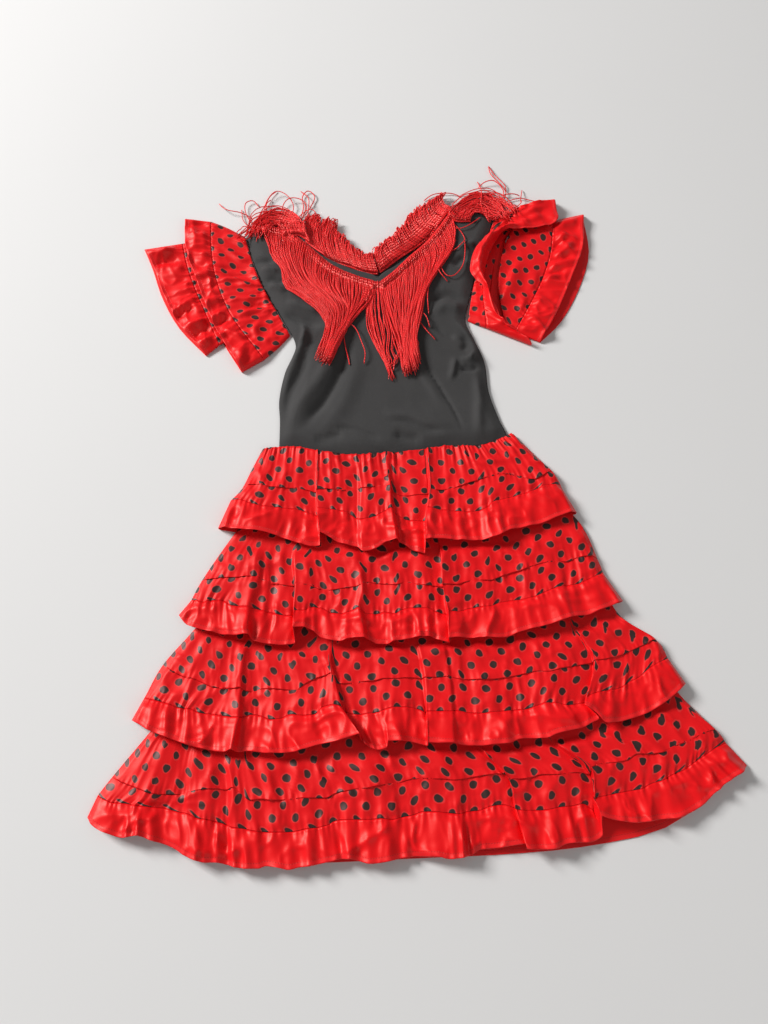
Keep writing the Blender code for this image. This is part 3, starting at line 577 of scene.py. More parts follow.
# A stretch of fringe: guide lines from its header to its tips, how many strands run between them, how
# deep they lie on one another at the header and at the tips, and how far they stray sideways.
Fringe = namedtuple("Fringe", "guides strands depth_at_root depth_at_tip drift looped seed")
FRINGES = {
    "fringe_front_left": Fringe(
        (
            ((-191, 312), (-181, 284), (-175, 265), (-162, 247), (-156, 219), (-138, 205), (-115, 184),
             (-103, 164), (-109, 137), (-113, 119)),
            ((-161, 306), (-163, 277), (-155, 250), (-141, 222), (-118, 199), (-101, 175), (-101, 150),
             (-110, 119)),
            ((-135, 285), (-138, 259), (-129, 231), (-109, 205), (-93, 184), (-93, 155), (-103, 119)),
            ((-103, 253), (-107, 228), (-97, 207), (-84, 190), (-85, 167), (-96, 138), (-105, 112)),
            ((-75, 237), (-75, 213), (-75, 194), (-79, 172), (-88, 147), (-99, 112)),
            ((-48, 227), (-49, 207), (-58, 190), (-71, 174), (-82, 157), (-91, 136), (-101, 112)),
        ),
        215, 1.6, 7.0, 1.6, False, 1,
    ),
    "fringe_front_right": Fringe(
        (
            ((-39, 227), (-36, 202), (-30, 172), (-23, 144), (-16, 119), (-12, 96)),
            ((-22, 243), (-19, 216), (-16, 187), (-15, 158), (-12, 130), (-9, 98)),
            ((-3, 265), (-0, 234), (-3, 202), (-8, 165), (-9, 134), (-4, 101)),
            ((16, 285), (23, 259), (15, 224), (2, 194), (-5, 158), (-4, 130), (0, 103)),
            ((35, 312), (43, 285), (35, 259), (18, 224), (7, 190), (0, 158), (-1, 130), (3, 111)),
            ((51, 338), (54, 301), (47, 274), (31, 247), (14, 213), (8, 180), (2, 147), (4, 119)),
        ),
        190, 1.6, 6.5, 1.6, False, 2,
    ),
    "fringe_centre": Fringe(
        (
            ((-58, 202), (-55, 165), (-46, 137), (-33, 109), (-24, 90)),
            ((-50, 224), (-51, 184), (-44, 144), (-31, 109), (-29, 92)),
            ((-43, 227), (-42, 187), (-37, 151), (-36, 123), (-29, 103)),
            ((-37, 224), (-31, 187), (-24, 151), (-26, 127), (-19, 113), (-28, 105)),
        ),
        26, 1.0, 2.0, 1.5, False, 3,
    ),
    "fringe_back_left": Fringe(
        (
            ((-134, 290), (-138, 306), (-135, 323), (-128, 335)),
            ((-116, 274), (-124, 296), (-123, 317), (-115, 333)),
            ((-98, 263), (-106, 284), (-107, 306), (-101, 330)),
            ((-78, 256), (-84, 271), (-87, 288), (-85, 303)),
            ((-58, 247), (-62, 256), (-64, 266), (-63, 276)),
            ((-43, 245), (-47, 256), (-49, 266), (-51, 274)),
        ),
        190, 2.6, 3.0, 2.2, True, 4,
    ),
    "fringe_back_right": Fringe(
        (
            ((-41, 247), (-46, 259), (-48, 271), (-46, 282)),
            ((-16, 270), (-26, 277), (-31, 288), (-29, 296)),
            ((7, 288), (-6, 296), (-13, 309), (-13, 320)),
            ((25, 307), (13, 315), (4, 330), (5, 343)),
            ((38, 325), (26, 335), (21, 348), (26, 359)),
            ((49, 345), (42, 354), (39, 364), (47, 374)),
        ),
        215, 2.6, 3.0, 2.2, True, 5,
    ),
    "fringe_shoulder_left": Fringe(
        (
            ((-134, 293), (-140, 322), (-159, 343), (-182, 346), (-199, 331), (-206, 309), (-217, 296)),
            ((-142, 299), (-150, 322), (-166, 335), (-184, 335), (-196, 322), (-200, 304)),
            ((-152, 299), (-158, 315), (-171, 323), (-183, 322), (-190, 311), (-190, 299)),
            ((-162, 296), (-167, 306), (-175, 312), (-183, 307), (-185, 296)),
        ),
        84, 2.5, 5.0, 5.0, False, 6,
    ),
    "fringe_shoulder_right": Fringe(
        (
            ((46, 335), (60, 361), (82, 376), (106, 374), (123, 358), (132, 338)),
            ((52, 325), (65, 351), (83, 363), (102, 359), (114, 345), (119, 330)),
            ((58, 322), (71, 341), (86, 349), (99, 345), (107, 330)),
            ((74, 322), (79, 335), (90, 336), (98, 327)),
        ),
        84, 2.5, 5.0, 5.0, False, 7,
    ),
}
# Loose strands that part from the rest, by the stretch that they belong to.
STRAYS = {
    "fringe_shoulder_left": (
        ((-207, 335), (-220, 340), (-236, 343), (-244, 349), (-250, 358)),
        ((-192, 331), (-188, 358), (-177, 374), (-163, 369), (-153, 353), (-155, 335)),
        ((-204, 322), (-214, 341), (-215, 356), (-206, 361), (-198, 353)),
        ((-197, 338), (-190, 354), (-184, 369), (-176, 379)),
        ((-187, 338), (-188, 353), (-183, 364)),
        ((-169, 341), (-165, 356), (-157, 363), (-144, 361), (-136, 351), (-142, 331)),
        ((-143, 335), (-140, 351), (-142, 368), (-135, 378), (-126, 369), (-130, 354), (-138, 338)),
        ((-142, 296), (-135, 322), (-133, 345), (-134, 364), (-145, 379)),
        ((-146, 336), (-131, 345), (-122, 336), (-120, 325)),
        ((-142, 299), (-137, 315), (-143, 320), (-155, 320)),
        ((-211, 322), (-217, 331), (-220, 348)),
        ((-223, 303), (-216, 315), (-210, 319)),
        ((-96, 296), (-90, 303), (-84, 299), (-81, 291)),
    ),
    "fringe_front_left": (
        ((-83, 170), (-70, 158), (-62, 137), (-58, 123), (-59, 109)),
        ((-85, 158), (-82, 137), (-78, 119), (-76, 108)),
    ),
    "fringe_shoulder_right": (
        ((16, 363), (26, 371), (37, 374), (53, 374), (65, 369)),
        ((63, 371), (83, 379), (102, 379), (114, 368), (117, 351)),
        ((103, 422), (105, 405), (116, 388), (123, 374), (118, 358)),
        ((103, 422), (110, 405), (122, 388), (124, 378)),
        ((87, 395), (91, 374), (90, 349), (100, 328)),
        ((88, 385), (97, 391), (109, 391), (120, 374), (113, 349)),
        ((117, 371), (130, 371), (141, 371)),
        ((122, 361), (140, 366), (153, 363), (163, 361)),
        ((145, 381), (141, 361), (138, 345), (119, 335)),
        ((97, 349), (109, 338), (115, 328)),
        ((114, 358), (126, 348), (136, 343)),
        ((54, 317), (63, 301), (65, 288), (57, 279), (47, 274)),
        ((51, 312), (61, 309), (73, 315), (87, 328)),
    ),
    "fringe_front_right": (
        ((48, 312), (51, 293), (44, 277), (38, 268)),
        ((65, 293), (65, 270), (61, 250), (51, 236), (41, 236), (34, 250), (29, 265)),
        ((29, 259), (33, 239), (42, 228)),
        ((19, 224), (17, 202), (18, 180)),
        ((6, 170), (16, 153), (25, 143)),
        ((5, 184), (14, 175), (19, 161)),
        ((-5, 137), (-19, 122), (-26, 109)),
        ((-12, 127), (-22, 113), (-25, 100)),
        ((-2, 151), (5, 137), (2, 127), (7, 120)),
        ((-12, 151), (1, 155), (4, 170)),
    ),
}

# Each tube's material and slot, by the last word of its name.
CLOTHS = {
    "band": ("printed_satin", "dotted_satin"),
    "ruffle": ("ruffle_satin", "plain_satin"),
}


def length_property(name, description, default, least, most):
    """A length that a user may change, in metres."""
    return bpy.props.FloatProperty(
        name=name, description=description, default=default, min=least, max=most, precision=5,
        unit="LENGTH",
    )


def share_property(name, description, most):
    """A share of the usual height that a user may change."""
    return bpy.props.FloatProperty(
        name=name, description=description, default=1.0, min=0.2, max=most, subtype="FACTOR",
    )


def colour_property(name, description, default):
    """A colour that a user may change."""
    return bpy.props.FloatVectorProperty(
        name=name, description=description, default=default, min=0.0, max=1.0, subtype="COLOR",
    )


class DressSizes(bpy.types.PropertyGroup):
    """Sizes that a user may change."""

    wall: length_property(
        "Cloth thickness", "Thickness of the satin and the jersey", 0.0007, 0.0003, 0.0012
    )
    gathers: share_property("Gathers", "Height of the gathers, as a share of the usual one", 1.5)
    folds: share_property("Folds", "Height of the hand-placed folds, as a share of the usual one", 1.3)
    dot: length_property("Dot", "Diameter of the printed dots", 0.0076, 0.002, 0.02)
    dot_pitch: length_property("Dot pitch", "Distance between dots along a row", 0.0235, 0.012, 0.06)
    strand: length_property("Strand", "Thickness of a strand of the fringe", 0.00125, 0.0008, 0.003)


class DressColours(bpy.types.PropertyGroup):
    """Colours that a user may change."""

    satin: colour_property("Ruffle satin", "Colour of the plain satin", (0.80, 0.004, 0.008))
    dotted: colour_property("Dotted satin", "Ground of the dotted satin", (0.78, 0.006, 0.010))
    dots: colour_property("Dots", "Colour of the printed dots", (0.007, 0.007, 0.006))
    jersey: colour_property("Jersey", "Colour of the bodice", (0.046, 0.044, 0.043))
    fringe: colour_property("Fringe", "Colour of the strands", (0.96, 0.012, 0.016))
    floor: colour_property("Floor", "Colour of the floor", (0.70, 0.69, 0.68))


# Shader maths.


class Wire:
    """A socket of a material under construction: arithmetic on it adds Math nodes."""

    def __init__(self, finish, socket):
        self.finish = finish
        self.socket = socket

    def math(self, operation, *others):
        places = dict(enumerate((self, *others)))
        return self.finish.node("ShaderNodeMath", {"operation": operation}, places)

    def __add__(self, other):
        return self.math("ADD", other)

    def __mul__(self, other):
        return self.math("MULTIPLY", other)

    def __sub__(self, other):
        return self.math("SUBTRACT", other)

    def __rsub__(self, other):
        return self * -1.0 + other

    def __pow__(self, other):
        return self.math("POWER", other)

    __radd__ = __add__
    __rmul__ = __mul__

    def step(self, low, high):
        """0 below low, 1 above high, and a smooth step between."""
        places = {0: self, 1: low, 2: high, 3: 0.0, 4: 1.0}
        return self.finish.node("ShaderNodeMapRange", {"interpolation_type": "SMOOTHSTEP"}, places)


class Finish:
    """A procedural material: its nodes, and the shader that they feed."""

    def __init__(self, name, roughness=0.5, sheen=0.0, tint=(1.0, 1.0, 1.0), gloss=0.5):
        material = bpy.data.materials.new(name)
        material.use_nodes = True
        self.tree = material.node_tree
        self.shader = self.tree.nodes["Principled BSDF"]
        for place, value in {
            "Roughness": roughness, "Coat Roughness": 0.5,
            "Sheen Weight": sheen, "Sheen Roughness": 0.4, "Sheen Tint": (*tint, 1.0),
            "Specular IOR Level": gloss, "Specular Tint": (*tint, 1.0),
        }.items():
            self.shader.inputs[place].default_value = value

    def node(self, kind, settings, places, output=0):
        """An output of a new node of that kind, whose settings come before its sockets' values or links."""
        made = self.tree.nodes.new(kind)
        for name, value in settings.items():
            setattr(made, name, value)
        for place, value in places.items():
            if isinstance(value, Wire):
                self.tree.links.new(value.socket, made.inputs[place])
            else:
                made.inputs[place].default_value = value
        return Wire(self, made.outputs[output])

    def uv(self, name):
        """The two coordinates of a UV map, in millimetres."""
        flat = self.node("ShaderNodeUVMap", {"uv_map": name}, {})
        first = self.node("ShaderNodeSeparateXYZ", {}, {0: flat})
        second = Wire(self, first.socket.node.outputs[1])
        return first * 1000.0, second * 1000.0

    def place(self):
        """Object coordinates."""
        return self.node("ShaderNodeTexCoord", {}, {}, "Object")

    def joined(self, x, y):
        """A vector of two coordinates."""
        return self.node("ShaderNodeCombineXYZ", {}, {0: x, 1: y})

    def noise(self, vector, scale, detail, roughness=0.5, distortion=0.0):
        """Smooth noise from 0 to 1."""
        return self.node(
            "ShaderNodeTexNoise", {},
            {"Vector": vector, "Scale": scale, "Detail": detail, "Roughness": roughness,
             "Distortion": distortion},
        )

    def mixed(self, share, first, second):
        """A colour between two others."""
        first, second = (c if isinstance(c, Wire) else (*c, 1.0) for c in (first, second))
        return self.node("ShaderNodeMix", {"data_type": "RGBA"}, {0: share, 6: first, 7: second}, 2)

    def feed(self, name, wire):
        """Links a wire to the shader."""
        self.tree.links.new(wire.socket, self.shader.inputs[name])

    def bump(self, height, distance, strength):
        """Bends the shader's normal after a height."""
        places = {"Height": height, "Distance": distance, "Strength": strength}
        self.feed("Normal", self.node("ShaderNodeBump", {}, places))


def scaled(colour, share, lift=0.0):
    """A colour made darker or lighter by a share, and paler by lift."""
    return tuple(min(1.0, c * share + lift) for c in colour)


def satin_relief(finish, across, down):
    """Bump of woven satin: fine crosswise threads, soft crumples and the slubs between them."""
    threads = (across * 9.0).math("SINE") * 0.5 + (down * 7.0).math("SINE") * 0.5
    slubs = finish.noise(finish.joined(across * 0.9, down * 0.12), 1.0, 2.0)
    crumples = finish.noise(finish.place(), 95.0, 3.0, 0.55, 0.6)
    return threads * 0.02 + slubs * 0.05 + crumples * 0.55


def stitch_line(across, from_edge, at):
    """1 on the stitches of a line sewn at a distance from an edge, 0 elsewhere."""
    near = (from_edge - at).math("ABSOLUTE").step(STITCH_HALF + 0.2, STITCH_HALF)
    return near * (across * (math.tau / STITCH_PITCH)).math("SINE").step(-0.5, 0.1)


def plain_satin(colours):
    """Red satin of the ruffles, with its hem's stitches and a painted highlight along the hem."""
    finish = Finish("ruffle_satin", sheen=0.04, tint=(1.0, 0.30, 0.25), gloss=0.75)
    across, down = finish.uv("cloth")
    from_edge = finish.uv("edges")[1]
    cloud = finish.noise(finish.place(), 22.0, 4.0)
    shade = finish.mixed(cloud.step(0.25, 0.75), scaled(colours.satin, 0.90), colours.satin)
    stitches = stitch_line(across, from_edge, 4.5)
    shade = finish.mixed(stitches * 0.6, shade, scaled(colours.satin, 0.55))
    # Painted highlight: the satin is made paler along the rolled hem, where light catches its edge.
    hem = from_edge.step(6.0, 4.0)
    shade = finish.mixed(hem * 0.15, shade, scaled(colours.satin, 1.0, 0.06))
    finish.feed("Base Color", shade)
    finish.feed("Roughness", cloud * 0.12 + 0.38)
    finish.bump(satin_relief(finish, across, down) - stitches * 0.5, 0.0006, 0.55)


def dotted_satin(colours, sizes):
    """Red satin printed with staggered dots, each with a faint pale ring where the print bled. A dot is
    where the nearer of two square grids of centres, half a pitch apart, lies within its radius."""
    finish = Finish("printed_satin", sheen=0.04, tint=(1.0, 0.30, 0.25), gloss=0.60)
    across, down = finish.uv("cloth")
    half = sizes.dot_pitch / MM / 2.0
    radius = sizes.dot / MM / 2.0
    wobble = finish.noise(finish.joined(across, down), 0.35, 2.0) * 0.9 - 0.45
    drag = finish.noise(finish.joined(across * 0.045, down * 0.045), 1.0, 2.0) * 9.0 - 4.5
    across = across + drag
    to_column = across.math("PINGPONG", half)
    to_row = down.math("PINGPONG", half)
    on_row = (to_column ** 2.0 + to_row ** 2.0) ** 0.5
    between = ((half - to_column) ** 2.0 + (half - to_row) ** 2.0) ** 0.5
    reach = on_row.math("MINIMUM", between) + wobble
    dot = reach.step(radius + 0.30, radius - 0.35)
    ring = reach.step(radius + 1.5, radius + 0.4) * (1.0 - dot)
    cloud = finish.noise(finish.place(), 26.0, 4.0)
    ground = finish.mixed(cloud.step(0.25, 0.75), scaled(colours.dotted, 0.90), colours.dotted)
    ground = finish.mixed(ring * 0.26, ground, (0.66, 0.11, 0.10))
    mottle = finish.noise(finish.joined(across, down), 0.8, 3.0)
    inside = finish.mixed(mottle, scaled(colours.dots, 0.7), scaled(colours.dots, 1.7))
    finish.feed("Base Color", finish.mixed(dot, ground, inside))
    finish.feed("Roughness", cloud * 0.12 + 0.42 + dot * 0.08)
    finish.feed("Coat Weight", dot * 0.6)
    stitches = stitch_line(across, finish.uv("edges")[1], 1.2)
    relief = satin_relief(finish, across, down) + dot * 0.04 - stitches * 0.15
    finish.bump(relief, 0.0006, 0.5)


def jersey(colours):
    """Charcoal jersey: columns of small knitted loops and a soft nap."""
    finish = Finish("charcoal_jersey", 0.88, sheen=0.06, tint=(0.8, 0.82, 0.85), gloss=0.3)
    across, down = finish.uv("cloth")
    cloud = finish.noise(finish.place(), 14.0, 4.0)
    shade = finish.mixed(cloud, scaled(colours.jersey, 0.82), scaled(colours.jersey, 1.22))
    fluff = finish.noise(finish.place(), 900.0, 2.0)
    shade = finish.mixed(fluff.step(0.62, 0.80) * 0.35, shade, (0.14, 0.135, 0.13))
    finish.feed("Base Color", shade)
    loops = (across * (math.tau / 1.1)).math("SINE").math("ABSOLUTE")
    rows = ((down * (math.tau / 0.9)) + loops * 1.6).math("SINE")
    finish.bump(loops * 0.35 + rows * 0.18 + fluff * 0.25, 0.00035, 0.7)


def twisted_red(colours):
    """Red rayon cord: its plies wind round it, with a painted highlight on their tops and painted shade in
    the grooves between them.
    """
    finish = Finish("rayon_cord", 0.32, sheen=0.05, tint=(1.0, 0.42, 0.36), gloss=1.0)
    around, along = finish.uv("cloth")
    twist = ((around * MM * math.tau * 2.0) + along * (math.tau / 3.4)).math("SINE")
    tone = finish.noise(finish.place(), 160.0, 2.0)
    shade = finish.mixed(tone.step(0.3, 0.7), scaled(colours.fringe, 0.93), colours.fringe)
    # Painted highlight on the tops of the plies.
    shade = finish.mixed(twist.step(0.2, 1.0) * 0.45, shade, scaled(colours.fringe, 1.05, 0.10))
    # Painted shade in the grooves between the plies.
    shade = finish.mixed(twist.step(-0.4, -1.0) * 0.25, shade, scaled(colours.fringe, 0.62))
    finish.feed("Base Color", shade)
    finish.bump(twist, 0.00028, 0.9)


def floor_finish(colours):
    """Matt pale board with a faint tooth."""
    finish = Finish("pale_floor", 0.9)
    grain = finish.noise(finish.place(), 3.0, 5.0)
    finish.feed("Base Color", finish.mixed(grain, scaled(colours.floor, 0.97), colours.floor))


# Surfaces.


def through(points, at):
    """A smooth curve through evenly spaced points, read at places from 0 to 1."""
    points = np.asarray(points, float)
    last = len(points) - 1
    place = np.clip(np.asarray(at, float), 0.0, 1.0) * last
    index = np.minimum(place.astype(int), last - 1)
    t = (place - index).reshape((-1,) + (1,) * (points.ndim - 1))
    padded = np.concatenate([2 * points[:1] - points[1:2], points, 2 * points[-1:] - points[-2:-1]])
    before, start, end, after = (padded[index + i] for i in range(4))
    return 0.5 * (
        2 * start
        + (end - before) * t
        + (2 * before - 5 * start + 4 * end - after) * t**2
        + (3 * start - before - 3 * end + after) * t**3
    )


def between_stations(knots, values, at):
    """A smooth curve through values at uneven knots that never swings past them: cubic pieces whose slope
    at a knot is a weighted harmonic mean of its two chords, or 0 where these have opposite signs."""
    values = np.asarray(values, float)
    step = np.diff(knots)
    chord = np.diff(values) / step
    before, after = chord[:-1], chord[1:]
    near, far = 2 * step[1:] + step[:-1], step[1:] + 2 * step[:-1]
    together = before * after > 0
    safe_before = np.where(together, before, 1.0)
    safe_after = np.where(together, after, 1.0)
    inner = (near + far) / (near / safe_before + far / safe_after)
    slope = np.concatenate([chord[:1], np.where(together, inner, 0.0), chord[-1:]])
    index = np.clip(np.searchsorted(knots, at, side="right") - 1, 0, len(step) - 1)
    t = (at - knots[index]) / step[index]
    start, end = values[index], values[index + 1]
    return (
        (2 * t**3 - 3 * t**2 + 1) * start
        + (t**3 - 2 * t**2 + t) * step[index] * slope[index]
        + (3 * t**2 - 2 * t**3) * end
        + (t**3 - t**2) * step[index] * slope[index + 1]
    )


def smooth(x):
    """0 below 0, 1 above 1, and 3x² - 2x³ between."""
    x = np.clip(x, 0.0, 1.0)
    return x * x * (3.0 - 2.0 * x)


def hashed(n, seed):
    """A fixed value from -1 to 1 for each whole number: the fraction of a large multiple of a sine."""
    h = np.sin(n * 127.1 + seed * 311.7) * 43758.5453
    return 2.0 * (h - np.floor(h)) - 1.0


def wander(at, seed):
    """Smooth noise along a line: hashed values at the whole numbers, joined by smooth steps."""
    cell = np.floor(at)
    t = smooth(at - cell)
    return hashed(cell, seed) * (1 - t) + hashed(cell + 1, seed) * t


def wander_2d(x, y, seed):
    """Smooth noise over a plane: hashed values at the corners of unit squares, joined both ways."""
    cx, cy = np.floor(x), np.floor(y)
    tx, ty = smooth(x - cx), smooth(y - cy)

    def corner(dx, dy):
        return hashed((cx + dx) + 57.0 * (cy + dy), seed)

    low = corner(0, 0) * (1 - tx) + corner(1, 0) * tx
    high = corner(0, 1) * (1 - tx) + corner(1, 1) * tx
    return low * (1 - ty) + high * ty


def run_length(points, axis=0):
    """Distance of every point from the first one, measured along that axis of an array of points."""
    step = np.diff(points, axis=axis, prepend=np.take(points, [0], axis=axis))
    return np.linalg.norm(step, axis=-1).cumsum(axis=axis)


def unit(vectors):
    """Vectors of length one in the same directions."""
    return vectors / np.maximum(np.linalg.norm(vectors, axis=-1, keepdims=True), 1e-9)


def gathers(place, away, kinds, seed):
    """Gathers of several kinds that run from a seam: a raised cosine across, whose pace and strength
    wander, dying away with the distance from the seam, each over a reach of its own."""
    height = 0.0
    for own, (rise, pitch, reach) in enumerate(kinds, seed):
        phase = place / pitch + 0.42 * wander(place / (2.3 * pitch), own)
        phase = phase + 0.0035 * away * wander(place / 70.0, own + 3)
        strength = 0.62 + 0.38 * wander(place / (1.7 * pitch), own + 7)
        length = reach * (0.85 + 0.5 * wander(place / (1.2 * pitch), own + 13))
        wave = (0.5 + 0.5 * np.cos(math.tau * phase)) ** 1.3
        height = height + rise * strength * wave * np.exp(-((away / length) ** 1.4))
    return height


def crumple(plan, kind, seed):
    """Soft creases at all angles: one less the size of a smooth noise, so that its zeros are ridges."""
    rise, size = kind
    x, y = np.moveaxis(plan, -1, 0)
    warp_x = x + 0.5 * size * wander_2d(x / (1.7 * size), y / (1.7 * size), seed + 5)
    warp_y = y + 0.5 * size * wander_2d(x / (1.7 * size), y / (1.7 * size), seed + 9)
    first = 1.0 - np.abs(wander_2d(warp_x / size, warp_y / size, seed))
    second = 1.0 - np.abs(wander_2d(warp_x / (0.47 * size), warp_y / (0.47 * size), seed + 2))
    return rise * (first**2 + 0.4 * second**2)


def crease_relief(plan, creases):
    """Height of listed creases: each a bell across its curve, with its own width on either side,
    that grows from one end, dies away at the other and bends a little on its way."""
    height = np.zeros(plan.shape[:-1])
    shares = np.linspace(0.0, 1.0, 28)
    for number, (points, left, right, rise) in enumerate(creases):
        line = through(points, shares)
        offset = plan[..., None, :] - line
        nearest = (offset**2).sum(axis=-1).argmin(axis=-1)
        offset = np.take_along_axis(offset, nearest[..., None, None], axis=-2)[..., 0, :]
        run = unit(np.gradient(line, axis=0))[nearest]
        share = shares[nearest]
        aside = offset[..., 0] * run[..., 1] - offset[..., 1] * run[..., 0]
        aside = aside + 0.9 * wander(share * 5.0, number)
        fade = smooth(0.12 + share / 0.35) * smooth(0.12 + (1.0 - share) / 0.35)
        beyond = (offset * run).sum(axis=-1) / (0.6 * (left + right))
        bell = np.exp(-(beyond**2)) * np.exp(-((aside / np.where(aside < 0, left, right)) ** 2))
        height = height + rise * fade * bell
    return height


def column_places(count, width):
    """Places across a layer: close together where the sides turn, and even steps between."""
    turn = np.array([0.0, 0.25, 0.9, 2.0, 3.4, SIDE_TURN]) / width
    inner = np.linspace(turn[-1], 1.0 - turn[-1], count - 2 * len(turn) + 2)
    return np.concatenate([turn[:-1], inner, 1.0 - turn[:-1][::-1]])


def under_places(count, width):
    """Places across the lower layer, from its right side to its left, without the shared folds."""
    return column_places(count, width)[::-1][1:-1]


def side_round(places, width):
    """0 at the side folds and 1 beyond the turn, along a quarter of an ellipse."""
    away = np.clip(np.minimum(places, 1.0 - places) * width / SIDE_TURN, 0.0, 1.0)
    return np.sqrt(1.0 - (1.0 - away) ** 2)


def line_points(line):
    """A line's places in plan: a tier's stand at even steps of x, and a sleeve's are its own."""
    if isinstance(line, Cuff):
        return np.array(line.places, float)
    return np.column_stack([np.linspace(line.left, line.right, len(line.levels)), line.levels])


def cloth_object(name, points, faces, maps, corners, material, nodes):
    """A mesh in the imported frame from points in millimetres. maps holds UV maps in metres, read through
    corners, which may differ from faces where the cloth closes on itself."""
    mesh = bpy.data.meshes.new(name)
    mesh.from_pydata(((points + PLAN_OFFSET) * MM).tolist(), [], faces.tolist())
    for title, values in maps.items():
        layer = mesh.uv_layers.new(name=title)
        layer.data.foreach_set("uv", (values * MM)[corners.ravel()].astype(np.float32).ravel())
    mesh.update()
    mesh.shade_smooth()
    made = bpy.data.objects.new(name, mesh)
    bpy.context.scene.collection.objects.link(made)
    made.data.materials.append(bpy.data.materials[material])
    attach(made, "root")
    if nodes:
        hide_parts(*nodes)
    return made


def give_wall(made, thickness):
    """Thickens a cloth inwards."""
    solidify = made.modifiers.new("wall", "SOLIDIFY")
    solidify.thickness = thickness
    solidify.offset = -1.0
    solidify.use_rim = True


def wound_faces(count, rows, around):
    """Quads of closed tubes of rows rings, and their corners in a map that has one more column."""
    tube_number, row, column = np.meshgrid(
        np.arange(count), np.arange(rows - 1), np.arange(around), indexing="ij"
    )

    def quads(wide, after):
        base = (tube_number * rows + row) * wide
        corners = [base + column, base + wide + column, base + wide + after, base + after]
        return np.stack(corners, axis=-1).reshape(-1, 4)

    return quads(around, (column + 1) % around), quads(around + 1, column + 1)


def row_places(lines, spacing, close=()):
    """Places down a piece from 0 to 1: even steps between its lines, and pairs close to some places."""
    ends = [through(line_points(line), (0.0, 0.5)) for line in lines]
    steps = []
    for number, (first, last) in enumerate(zip(ends, ends[1:])):
        rows = max(2, round(float(np.linalg.norm(last - first, axis=1).mean()) / spacing))
        steps.append(number + np.arange(rows) / rows)
    count = len(lines) - 1
    places = np.concatenate([*steps, [float(count)], np.asarray(close, float)])
    return np.unique(np.round(places, 5)) / count


def layer_plan(lines, places, down):
    """Plan points of a layer: a smooth curve across each line, then smooth curves down through them."""
    return through(np.stack([through(line_points(line), places) for line in lines]), down)


def upright(points):
    """Distance of every point below its column's first one, each step measured square to its row."""
    step = np.diff(points, axis=0, prepend=points[:1])
    aside = (step * unit(np.gradient(points, axis=1))).sum(axis=2)
    square = np.sqrt(np.maximum((step**2).sum(axis=2) - aside**2, 0.0))
    return np.cumsum(square, axis=0)


def joined_below(lines, upper, under, down):
    """The lower layer's places: its lines' curves, moved so that their ends meet the upper layer's."""
    whole = layer_plan(lines, np.array([0.0, 1.0]), down)
    share = under[None, :, None]
    left, right = upper[:, :1] - whole[:, :1], upper[:, -1:] - whole[:, 1:]
    return layer_plan(lines, under, down) + (1.0 - share) * left + share * right


def tube(name, lines, under_lines, down, plan, rise, under, start, sizes, mirrored=False, tuck=0):
    """A flattened tube of cloth. lines hold its heights and down the places of its rows. plan and rise
    are the upper layer's places and its relief over the front height, row by row. under_lines and under
    give the lower layer's places, from right to left. start shifts the pattern across, and tuck is the
    row after which TUCK_HIDDEN of the cloth is folded away."""
    heights = np.maximum(through([[line.back, line.front] for line in lines], down), 0.0)
    back, front = heights[:, :1], heights[:, 1:] + WALL_ROOM
    middle = 0.5 * (back + front)
    place = run_length(plan[-1])
    rounding = side_round(place / place[-1], place[-1])
    fade = smooth(np.minimum(place, place[-1] - place) / RELIEF_FADE)
    top = middle + (front - middle) * rounding + rise * fade
    top = np.maximum(top, middle + np.minimum(LEAST_RISE, front - middle) * rounding)
    below = joined_below(under_lines, plan, under, down)
    under_place = FOLD_ROOM + run_length(below[-1])
    under_width = under_place[-1] + FOLD_ROOM
    bottom = middle - (middle - back) * side_round(under_place / under_width, under_width)
    upper = np.concatenate([plan, top[:, :, None]], axis=2)
    lower = np.concatenate([below, bottom[:, :, None]], axis=2)
    rings = np.concatenate([upper, lower], axis=1)
    rows, around = rings.shape[:2]
    closed = np.concatenate([rings, rings[:, :1]], axis=1)
    row_map = run_length(closed, 1)
    middle_row = row_map[int(WIDTH_ROW * rows)]
    centre = plan.shape[1] // 2
    own = row_map - row_map[:, centre : centre + 1] + middle_row[centre]
    across_map = start + middle_row + ROW_SHARE * (own - middle_row)
    cloth_down = upright(closed)
    cloth_down = cloth_down - cloth_down[-1:] - TUCK_HIDDEN * (np.arange(rows) < tuck)[:, None]
    down_map = run_length(closed)
    maps = {
        "cloth": np.stack([across_map, cloth_down], axis=2).reshape(-1, 2),
        "edges": np.stack([down_map, down_map[-1:] - down_map], axis=2).reshape(-1, 2),
    }
    faces, corners = wound_faces(1, rows, around)
    if mirrored:
        faces, corners = faces[:, ::-1], corners[:, ::-1]
    material, slot = CLOTHS[name.split("_")[-1]]
    made = cloth_object(
        name + "_cloth", rings.reshape(-1, 3), faces, maps, corners, material, [name]
    )
    give_wall(made, sizes.wall)
    width = middle_row[-1]
    width * MM


def level_at(line, x):
    """The y of a line at places of x."""
    points = line_points(line)
    places = np.clip((x - points[0, 0]) / (points[-1, 0] - points[0, 0]), 0, 1)
    return through(points, places)[:, 1]


